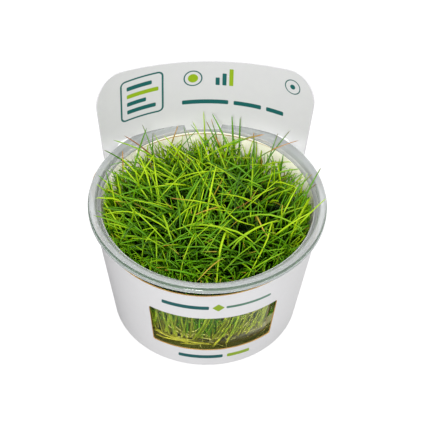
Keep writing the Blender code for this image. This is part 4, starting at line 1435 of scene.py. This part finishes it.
def roots(rng, crown):
    """Pale roots: some wander down through the gel, some curl up over its top."""
    heading = rng.uniform(-np.pi, np.pi, ROOTS)
    length = rng.uniform(*ROOT_LENGTH, ROOTS)
    upward = rng.uniform(0, 1, ROOTS) < CURLING_UP
    low = np.where(upward, rng.uniform(*UP_START, ROOTS), rng.uniform(*DOWN_START, ROOTS))
    high = np.where(upward, rng.uniform(*UP_END, ROOTS), rng.uniform(*DOWN_END, ROOTS))
    curl = rng.normal(0, ROOT_CURL, ROOTS)
    share = (np.arange(ROOT_STEPS) + 0.5) / ROOT_STEPS
    ways = directions(low[:, None] + (high - low)[:, None] * share, heading[:, None] + curl[:, None] * share)
    steps = np.cumsum(ways, axis=1) * (length / ROOT_STEPS)[:, None, None]
    start = np.array([crown[0], crown[1], GEL_TOP + ROOT_RISE])
    start = start + rng.normal(0, ROOT_SCATTER, (ROOTS, 3)) * SCATTER_SHAPE
    x, y, z = (grown_from(start, steps)[..., axis] for axis in range(3))
    z = np.maximum(z, FLOOR + 2 * GAP + ROOT_ROOM)
    room = wall_radius(z) - WALL - GAP - ROOT_ROOM
    scale = np.minimum(1.0, room / np.maximum(np.hypot(x, y), NO_RADIUS))
    return np.stack([x * scale, y * scale, z], axis=-1)


print("roots:", ROOTS, "a tuft")

# %% [markdown]
# ## Long leaves that lie on the mat
# A few long leaves catch the eye on top of the mat. A rule could scatter them, but these are what one
# compares with the photograph, so each is given one by one: four points, from where it rises out of the mat
# to its tip. It grows from the crown that is nearest to the first point.

# %% Long leaves on the mat
PLACED_STEPS = 16
# How far a leaf has come, sideways and up, half way from its crown to its first point
KNEE = np.array((0.35, 0.35, 0.60))
# Points in millimetres from where each leaf rises out of the mat to its tip, its width, and
# its greenness, dryness and the colour it dries to
PLACED_LEAVES = (
    (((-5.5, -17.7, 57.0), (-8.9, -27.2, 58.0), (-11.2, -34.3, 57.0), (-12.1, -40.9, 55.5)),
     1.05, (0.85, 0.0, 0.00)),
    (((6.7, -17.1, 57.0), (3.9, -27.1, 58.5), (2.5, -35.1, 57.5), (1.8, -42.9, 56.0)),
     1.15, (0.90, 0.0, 0.00)),
    (((24.7, -13.0, 57.0), (22.1, -23.0, 58.0), (18.2, -31.5, 57.5), (13.5, -40.4, 56.0)),
     1.00, (0.95, 0.0, 0.00)),
    (((-6.3, -13.5, 57.0), (3.3, -16.0, 58.5), (12.3, -19.5, 58.0), (18.7, -25.2, 56.0)),
     1.00, (0.80, 0.0, 0.00)),
    (((-14.3, -16.9, 56.0), (-22.1, -12.0, 59.0), (-31.9, -8.3, 60.0), (-42.3, -8.9, 58.5)),
     0.95, (0.85, 0.0, 0.00)),
    (((-15.3, -4.1, 55.0), (-22.6, -2.0, 57.5), (-31.9, 1.2, 58.0), (-39.3, 4.2, 56.0)),
     0.90, (0.60, 0.0, 0.00)),
    (((5.7, -6.3, 55.0), (1.8, 4.0, 57.0), (-2.5, 13.7, 58.0), (-6.1, 24.4, 57.0)),
     0.95, (0.95, 0.0, 0.00)),
    (((13.6, -9.2, 56.0), (22.1, -9.7, 58.5), (30.4, -12.9, 58.5), (37.0, -16.6, 56.0)),
     0.95, (0.70, 0.0, 0.00)),
    (((20.0, 8.3, 54.0), (17.3, 1.1, 56.0), (13.9, -2.8, 56.5), (9.9, -3.6, 55.5)),
     0.75, (0.50, 1.0, 0.85)),
    (((-8.2, -6.0, 55.0), (-9.9, -1.0, 57.0), (-11.9, 6.0, 58.0), (-12.9, 15.0, 57.0)),
     0.80, (0.75, 0.0, 0.00)),
    (((-30.2, -18.1, 55.0), (-24.7, -20.5, 57.0), (-19.3, -22.3, 57.0), (-15.4, -23.4, 55.0)),
     0.85, (0.80, 0.0, 0.00)),
    (((-26.7, -31.9, 53.0), (-21.9, -30.2, 55.5), (-16.5, -30.8, 56.0), (-12.4, -34.0, 54.0)),
     0.80, (0.55, 0.0, 0.00)),
    (((29.8, -22.9, 55.0), (23.7, -30.4, 57.0), (18.5, -36.2, 56.5), (14.9, -38.8, 55.0)),
     0.80, (0.60, 0.0, 0.00)),
    (((23.5, -17.9, 56.0), (15.6, -25.7, 57.5), (9.2, -31.6, 57.0), (4.2, -36.9, 55.0)),
     0.80, (0.70, 0.0, 0.00)),
    (((18.9, -7.6, 56.0), (20.0, -13.3, 57.5), (21.5, -18.4, 57.5), (23.2, -21.3, 57.0)),
     0.80, (0.50, 1.0, 0.10)),
    (((4.0, -2.9, 56.0), (0.1, -5.8, 57.5), (-3.3, -7.2, 57.5), (-6.2, -8.8, 57.0)),
     0.80, (0.50, 1.0, 0.10)),
    (((-19.5, 1.2, 55.0), (-20.6, 7.9, 58.0), (-23.6, 17.7, 59.0), (-27.0, 22.6, 57.0)),
     0.85, (0.80, 0.0, 0.00)),
    (((12.7, 8.4, 55.0), (7.5, 6.9, 57.5), (1.4, 9.2, 58.0), (-5.5, 11.2, 57.0)),
     0.85, (0.65, 0.0, 0.00)),
    (((17.1, -12.7, 56.0), (12.6, -13.6, 58.0), (8.5, -9.8, 58.5), (5.3, -1.3, 57.0)),
     0.90, (0.90, 0.0, 0.00)),
    (((-1.5, -0.2, 56.0), (-7.9, -5.4, 58.0), (-14.2, -12.9, 58.0), (-18.0, -16.8, 56.0)),
     0.85, (0.85, 0.0, 0.00)),
    (((-19.7, -12.5, 55.0), (-24.1, -20.1, 57.0), (-26.0, -25.3, 56.5), (-26.4, -29.2, 54.5)),
     0.90, (0.75, 0.0, 0.00)),
    (((9.7, -23.3, 56.0), (14.8, -19.1, 57.5), (21.9, -13.7, 57.0), (29.0, -10.3, 55.0)),
     0.80, (0.75, 0.0, 0.00)),
    (((34.8, -0.1, 55.0), (34.4, -10.7, 57.0), (36.4, -17.7, 55.5), (37.2, -19.7, 54.0)),
     0.80, (0.60, 0.0, 0.00)),
    (((-15.8, -27.5, 55.0), (-14.5, -22.8, 57.0), (-9.5, -18.0, 57.0), (-4.5, -14.7, 56.0)),
     0.80, (0.60, 0.0, 0.00)),
)


def placed_leaves(crown):
    """The long leaves on the mat that rise nearest to a crown: lines, widths, looks."""
    lines, widths, looks = [], [], []
    for points, width, look in PLACED_LEAVES:
        points = np.array(points) * MM
        nearest = CROWNS[np.linalg.norm(CROWNS[:, :2] - points[0, :2], axis=1).argmin()]
        if np.array_equal(nearest, crown):
            foot = np.array((crown[0], crown[1], MAT_LOW))
            knee = foot + (points[0] - foot) * KNEE
            lines.append(smooth_paths(np.array([[foot, knee, *points]]), PLACED_STEPS)[0])
            widths.append(width * MM)
            looks.append(look)
    return lines, widths, looks


print("placed on the mat:", len(PLACED_LEAVES), "long leaves")

# %% [markdown]
# ## Leaves and roots in the window
# The window of the card shows leaves that lie against the wet wall. Grown by rule they would stand anywhere,
# so these too are listed one by one, by degrees round from the front and height.
# Each belongs to the nearest tuft of the outer ring. Behind them a row of leaves painted darker as shade,
# which no one tells apart, is laid out by rule and closes the gaps.

# %% Leaves in the window
OUTER_RING, HALF_SECTOR = 0.0290, 10.0
PRESSED_GAP = 0.0007
PRESSED_SHADE, PRESSED_WIDER, PRESSED_BOW = 0.52, 1.35, 0.24
# Dryness of the leaves more than so many degrees to the right, and of all others
PALE_FROM, PALE_RIGHT, OLIVE = 16.5, 0.34, 0.25
# Each pressed leaf: degrees round from the front at the foot and at the top, height of foot and top in
# millimetres, width, greenness, which is low for the leaves that lie by the gel as painted shade
WALL_LEAVES = (
    (-9.9, -0.6, 16.4, 40.0, 1.8, 0.74), (-7.6, 1.2, 17.0, 41.0, 1.2, 0.62),
    (2.0, 11.0, 17.1, 40.0, 2.0, 0.50), (4.6, 13.0, 17.5, 41.0, 1.0, 0.40),
    (2.0, 15.1, 11.6, 40.0, 1.7, 0.80), (10.4, 17.5, 12.7, 40.0, 1.7, 0.78),
    (14.9, 25.0, 18.3, 40.0, 1.2, 0.50), (12.0, 21.0, 16.0, 40.0, 1.0, 0.72),
    (-14.0, -17.7, 16.6, 40.0, 1.4, 0.66), (-12.0, -10.0, 17.0, 40.0, 1.0, 0.45),
    (-17.0, -13.0, 16.0, 40.0, 1.1, 0.74), (-18.0, -27.0, 19.0, 40.0, 1.1, 0.34),
    (-20.5, -24.0, 16.0, 40.0, 1.3, 0.80), (-22.5, -19.0, 16.5, 41.0, 1.2, 0.52),
    (-25.0, -29.0, 16.0, 41.0, 1.4, 0.74), (-27.5, -23.0, 16.5, 41.0, 1.1, 0.90),
    (-29.5, -33.0, 16.0, 41.0, 1.3, 0.46), (-32.0, -27.0, 16.5, 40.0, 1.3, 0.78),
    (-34.5, -37.0, 16.0, 41.0, 1.3, 0.62), (-36.5, -31.0, 16.0, 40.0, 1.1, 0.84),
    # The next five leaves lie low by the gel: their low greenness is painted shade
    (-35.0, -12.0, 15.6, 12.2, 1.3, 0.24), (-31.0, -5.0, 13.4, 11.8, 1.2, 0.12),
    (-24.0, 2.0, 15.2, 12.4, 1.0, 0.30), (-18.0, -4.0, 11.6, 14.4, 1.0, 0.10),
    (-34.0, -16.0, 12.0, 14.6, 1.3, 0.18), (-2.5, 3.0, 19.0, 40.0, 0.9, 0.56),
    (24.0, 31.0, 17.0, 41.0, 1.2, 0.78), (31.0, 36.0, 17.0, 41.0, 1.2, 0.80),
    (34.0, 33.0, 16.0, 40.0, 1.2, 0.82), (20.0, 27.0, 17.0, 40.0, 1.1, 0.70),
    (17.5, 22.0, 16.4, 40.0, 1.3, 0.64), (27.5, 27.0, 16.4, 40.0, 1.3, 0.72),
    (22.5, 34.0, 16.0, 38.0, 1.0, 0.86), (29.5, 24.0, 16.6, 39.0, 0.9, 0.60),
)
# The leaves behind, darker by painted shade: start, end and step in degrees, and a wave that leans them to
# and fro and lightens some of them
BACKING_DEGREES = (-39.0, 40.0, 2.3)
BACKING_WAVE, BACKING_LEAN, BACKING_CURVE = 5.3, 9.0, 1.5
BACKING_LOW, BACKING_HIGH = 15.4, 41.0
BACKING_INWARDS, BACKING_WIDTH = 0.0016, 0.0019
BACKING_SHADED_TONE, BACKING_SWING = 0.27, 0.12
# Pale roots on the front of the wall: points of (degrees round, height in millimetres)
WALL_ROOTS = (
    ((-4.0, 17.5), (0.5, 16.4), (5.0, 17.0), (7.5, 18.6)),
    ((-13.5, 21.0), (-9.5, 21.6), (-6.0, 24.5), (-3.5, 25.6)),
    ((-25.0, 22.0), (-20.0, 19.5), (-15.0, 17.6), (-11.0, 17.4)),
    ((-22.0, 24.5), (-17.0, 20.5), (-13.0, 18.8), (-9.5, 18.6)),
    ((16.0, 28.5), (21.0, 28.0), (26.0, 29.5), (31.0, 32.5)),
    ((13.0, 31.0), (18.0, 29.5), (24.0, 31.0), (27.0, 34.0)),
    ((-5.2, 24.0), (-4.0, 25.5), (-4.4, 27.4), (-5.6, 28.0)),
    ((-31.0, 27.5), (-27.5, 25.5), (-25.0, 27.0), (-22.0, 31.0)),
    ((20.0, 21.0), (22.0, 23.5), (25.5, 24.5), (29.0, 24.0)),
)


def grows_from(crown, degrees):
    """Whether what starts so many degrees round the front grows from this crown's sector."""
    here = math.degrees(math.atan2(crown[0], -crown[1]))
    return math.hypot(crown[0], crown[1]) >= OUTER_RING and abs(degrees - here) <= HALF_SECTOR


def on_front_wall(degrees, heights, inwards=0.0):
    """Points just inside the front of the wall, or some way behind it."""
    turn = np.radians(degrees)
    radius = wall_radius(heights) - WALL - PRESSED_GAP - inwards
    return np.stack([radius * np.sin(turn), -radius * np.cos(turn), heights], axis=-1)


def wall_leaves(crown):
    """Pressed leaves whose feet are nearest to a crown of the outer ring: lines, widths, looks."""
    lines, widths, looks = [], [], []
    share = np.linspace(0, 1, PLACED_STEPS + 1)
    for foot, top, low, high, width, tone in WALL_LEAVES:
        if grows_from(crown, foot):
            bow = share + PRESSED_BOW * np.sin(np.pi * share)
            lines.append(on_front_wall(foot + (top - foot) * bow, (low + (high - low) * share) * MM))
            widths.append(width * PRESSED_WIDER * MM)
            looks.append((tone * PRESSED_SHADE, PALE_RIGHT if foot > PALE_FROM else OLIVE, 0.0))
    for foot in np.arange(*BACKING_DEGREES):
        if grows_from(crown, foot):
            wave = math.sin(BACKING_WAVE * foot)
            leaning = foot + BACKING_LEAN * wave * share ** BACKING_CURVE
            raised = (BACKING_LOW + (BACKING_HIGH - BACKING_LOW) * share) * MM
            lines.append(on_front_wall(leaning, raised, BACKING_INWARDS))
            widths.append(BACKING_WIDTH)
            looks.append((BACKING_SHADED_TONE + BACKING_SWING * wave, OLIVE, 0.0))
    return lines, widths, looks


def wall_roots(crown):
    """Pressed roots that start nearest to a crown of the outer ring."""
    knots = [on_front_wall(np.array(root)[:, 0], np.array(root)[:, 1] * MM)
             for root in WALL_ROOTS if grows_from(crown, root[0][0])]
    return smooth_paths(np.array(knots), PLACED_STEPS) if knots else np.array(knots)


print("in the window:", len(WALL_LEAVES), "leaves and", len(WALL_ROOTS), "roots placed by hand")

# %% [markdown]
# ## Leaf and root finish
# Fresh leaves go from a deep green, partly painted shade, to a lit yellow-green. Dead ones are straw, orange
# or brown, and many green ones have a brown tip. One material holds all of these, because each point of a
# leaf carries its own greenness with painted shade, and its dryness. Near the gel the leaves fade to pale
# yellow.

# %% Leaf and root materials
# The deep green is that of dark leaves and of leaves in painted shade
DARK_AND_SHADED_GREEN = (0.010, 0.040, 0.001, 1.0)
MID_GREEN = (0.103, 0.295, 0.003, 1.0)
LIT_GREEN = (0.40, 0.60, 0.006, 1.0)
STRAW = (0.52, 0.38, 0.045, 1.0)
ORANGE_BROWN = (0.42, 0.185, 0.018, 1.0)
DARK_BROWN = (0.155, 0.045, 0.017, 1.0)
PALE_FOOT = (0.46, 0.52, 0.05, 1.0)
ROOT_COLOUR = (0.60, 0.60, 0.20, 1.0)
# Between which values each colour takes over from the one before it: by greenness with painted shade, by
# height over the cup's foot and by the colour that the leaf dries to
MID_FROM, LIT_FROM = (0.0, 0.5), (0.5, 1.0)
PALE_HEIGHTS, PALEST = (0.0205, 0.0150), 0.8
ORANGE_FROM, BROWN_DRY_FROM = (0.25, 0.55), (0.6, 0.95)
LEAF_CLOUDS, LEAF_GRAIN, LEAF_BUMP = (520.0, 0.09), (3200.0, 0.34, 0.22), (0.00004, 0.5)
LEAF_SHINE = {"Specular IOR Level": 0.22}
ROOT_CLOUDS, ROOT_GRAIN, ROOT_BUMP = (420.0, 0.09), (3600.0, 0.3, 0.2), (0.00005, 0.6)


def leaf_finish():
    """Glossy green leaf that dries to straw and brown."""
    leaf, tree, shader = new_material("leaf")
    looks = split(tree, add_node(tree, "ShaderNodeAttribute", attribute_name="looks").outputs["Vector"])
    green = mix_colours(tree, ease(tree, looks["X"], *MID_FROM), DARK_AND_SHADED_GREEN, MID_GREEN)
    green = mix_colours(tree, ease(tree, looks["X"], *LIT_FROM), green, LIT_GREEN)
    height = split(tree, object_place(tree))["Z"]
    green = mix_colours(tree, ease(tree, height, *PALE_HEIGHTS, 0.0, PALEST), green, PALE_FOOT)
    dry = mix_colours(tree, ease(tree, looks["Z"], *ORANGE_FROM), STRAW, ORANGE_BROWN)
    dry = mix_colours(tree, ease(tree, looks["Z"], *BROWN_DRY_FROM), dry, DARK_BROWN)
    colour = mix_colours(tree, looks["Y"], green, dry)
    _, grain = dress(tree, shader, colour, LEAF_CLOUDS, LEAF_GRAIN)
    add_bump(tree, shader, grain["Height"], *LEAF_BUMP)
    set_values(shader, LEAF_SHINE)
    return leaf


def root_finish():
    """Wet pale root."""
    root, tree, shader = new_material("root")
    _, grain = dress(tree, shader, ROOT_COLOUR, ROOT_CLOUDS, ROOT_GRAIN)
    add_bump(tree, shader, grain["Height"], *ROOT_BUMP)
    return root


LEAF_FINISHES = [leaf_finish(), root_finish()]
print("leaf finishes:", ", ".join(finish.name for finish in LEAF_FINISHES))

# %% [markdown]
# ## Tips that stand over the rim
# Some main leaves of the model end above the rim, where each tip is seen alone. The rules
# above could colour them too, but these single tips are green, orange or brown where one
# looks first, so their colours are given one by one and found by the place of the tip.

# %% Tips over the rim
# Each tip: its place in millimetres, greenness, the share of the leaf from which it is dry
# (2.0 for never), and the colour it dries to, from straw over orange to dark brown
STANDING_TIPS = (
    ((-5.5, 40.5, 61.0), 0.42, 2.0, 0.5),
    ((1.0, 40.0, 63.0), 0.40, 0.94, 0.8),
    ((3.0, 40.5, 64.0), 0.38, 0.93, 0.5),
    ((5.5, 37.0, 59.5), 0.45, 2.0, 0.5),
    ((-3.0, 37.0, 60.5), 0.50, 2.0, 0.5),
    ((-10.5, 39.0, 62.0), 0.60, 0.82, 0.45),
    ((-21.0, 34.5, 62.5), 0.40, 0.95, 0.9),
    ((11.5, 39.5, 66.5), 0.44, 2.0, 0.5),
    ((15.0, 39.5, 65.5), 0.40, 0.97, 0.9),
    ((25.0, 33.5, 61.0), 0.55, 0.88, 0.62),
    ((30.0, 30.0, 65.0), 0.42, 0.95, 0.9),
    ((35.0, 30.0, 66.5), 0.34, 0.95, 0.9),
    ((20.5, 35.5, 60.5), 0.45, 0.92, 0.6),
    ((-41.0, 20.5, 66.0), 0.30, 0.97, 0.9),
    ((-33.0, 31.0, 64.0), 0.40, 0.74, 0.78),
    ((-25.5, 33.5, 68.0), 0.34, 0.96, 0.9),
    ((-23.5, 34.5, 65.0), 0.36, 2.0, 0.9),
    ((-33.5, 24.0, 62.5), 0.55, 0.74, 0.50),
    ((38.5, 27.0, 63.5), 0.36, 0.78, 0.62),
    ((45.5, 8.0, 66.5), 0.45, 0.96, 0.9),
    ((42.0, 6.0, 65.0), 0.42, 0.95, 0.8),
    ((43.5, 2.0, 63.5), 0.40, 0.93, 0.9),
    ((-45.0, -12.0, 62.0), 0.62, 0.97, 0.9),
    ((-6.0, -45.5, 60.0), 0.60, 0.62, 0.30),
)
TIP_CATCH = 0.0012
TIP_FADE = 0.05


def colour_standing_tips(main, looks, shares):
    """Give the main leaves that stand over the rim the colours that their tips have."""
    for tip, green, dry_from, hue in STANDING_TIPS:
        apart = np.linalg.norm(main[:, -1] - np.array(tip) * MM, axis=1)
        leaf = int(np.argmin(apart))
        if apart[leaf] < TIP_CATCH:
            looks[leaf, :, 0] = green
            looks[leaf, :, 1] = np.clip((shares - dry_from) / TIP_FADE, 0, 1)
            looks[leaf, :, 2] = hue


print("tips over the rim:", len(STANDING_TIPS))

# %% [markdown]
# ## Growing the tufts
# Each tuft of the model is replaced by one mesh: its seven main leaves, smooth and with their
# exact tips, its fine leaves and its roots. One mesh for the whole mat would be as good to look
# at, but a tuft is what one plants, so each stays a piece of its own.

# %% Build the tufts
SEED = 7
FINE_LEAVES, TOP_LEAVES, MAIN_STEPS = 105, 12, 16
DEAD_SHARE = 0.012
MAIN_WIDTH = (0.00082, 0.00102)
FINE_WIDTH = (0.00074, 0.00104)
ROOT_WIDTH = (0.00028, 0.00048)
# Thickness as a share of the width
MAIN_FLAT, FINE_FLAT, PRESSED_FLAT, ROOT_FLAT = 0.62, 0.6, 0.45, 0.9
# Sides of a tube: leaves that are seen one by one, fine ones, and roots against the wall
PLAIN_SIDES, FINE_SIDES, WALL_ROOT_SIDES = 6, 4, 5
TWIST_AT_FOOT, TWIST_ALONG = 0.5, 0.9
LEAF, ROOT = range(2)


def tuft_batches(rng, crown, main):
    """Lines, width, flatness, sides, finish and looks (or the share of dead leaves) of each kind."""
    fine = fine_leaves(rng, crown, FINE_LEAVES, on_top=False)
    top = fine_leaves(rng, crown, TOP_LEAVES, on_top=True)
    under = roots(rng, crown)
    batches = [
        (main, MAIN_WIDTH, MAIN_FLAT, PLAIN_SIDES, LEAF, 0.0),
        (fine, FINE_WIDTH, FINE_FLAT, FINE_SIDES, LEAF, DEAD_SHARE),
        (top, MAIN_WIDTH, FINE_FLAT, PLAIN_SIDES, LEAF, 0.0),
        (under, ROOT_WIDTH, ROOT_FLAT, FINE_SIDES, ROOT, 0.0),
    ]
    for given, flatness in ((wall_leaves(crown), PRESSED_FLAT), (placed_leaves(crown), MAIN_FLAT)):
        if given[0]:
            lines, widths, looks = map(np.array, given)
            batches.append((lines, widths, flatness, PLAIN_SIDES, LEAF, looks))
    pale = wall_roots(crown)
    if len(pale):
        batches.append((pale, ROOT_WIDTH, ROOT_FLAT, WALL_ROOT_SIDES, ROOT, 0.0))
    return batches


def build_tuft(node):
    """One tuft with its main leaves, its fine leaves and its roots."""
    rng = np.random.default_rng(SEED + int(node.split("_")[1]))
    crown, knots = MAIN_LEAVES[node]
    main = smooth_paths(knots, MAIN_STEPS)
    verts, faces, looks, finish = [], [], [], []
    start = 0
    for curves, width, flatness, sides, material, looks_rule in tuft_batches(rng, crown, main):
        count = len(curves)
        widths = width if isinstance(width, np.ndarray) else rng.uniform(*width, count)
        twist = np.stack([rng.normal(0, TWIST_AT_FOOT, count), rng.normal(0, TWIST_ALONG, count)], axis=1)
        points, polygons, shares = tubes(curves, widths, flatness, sides, twist)
        verts.append(points)
        faces += [[index + start for index in polygon] for polygon in polygons]
        if isinstance(looks_rule, np.ndarray):
            looks.append(np.repeat(looks_rule, len(shares), axis=0))
        else:
            looks.append(leaf_looks(rng, points, shares, looks_rule))
        if curves is main:
            colour_standing_tips(main, looks[-1].reshape(count, -1, 3), shares)
        finish += [material] * len(polygons)
        start += len(points)
    name = "hairgrass_" + node
    piece = add_piece(name, np.concatenate(verts).tolist(), faces, LEAF_FINISHES, [node],
                      face_finish=np.array(finish, dtype=np.int32), sharp=None)
    made = piece.data.attributes.new("looks", "FLOAT_VECTOR", "POINT")
    made.data.foreach_set("vector", np.concatenate(looks).astype(np.float32).ravel())
    return piece


tufts = [build_tuft(node) for node in TUFTS]
triangles = [sum(len(polygon.vertices) - 2 for polygon in tuft.data.polygons) for tuft in tufts]
print("tufts:", len(tufts), "with", sum(triangles), "triangles, at most", max(triangles), "in one")
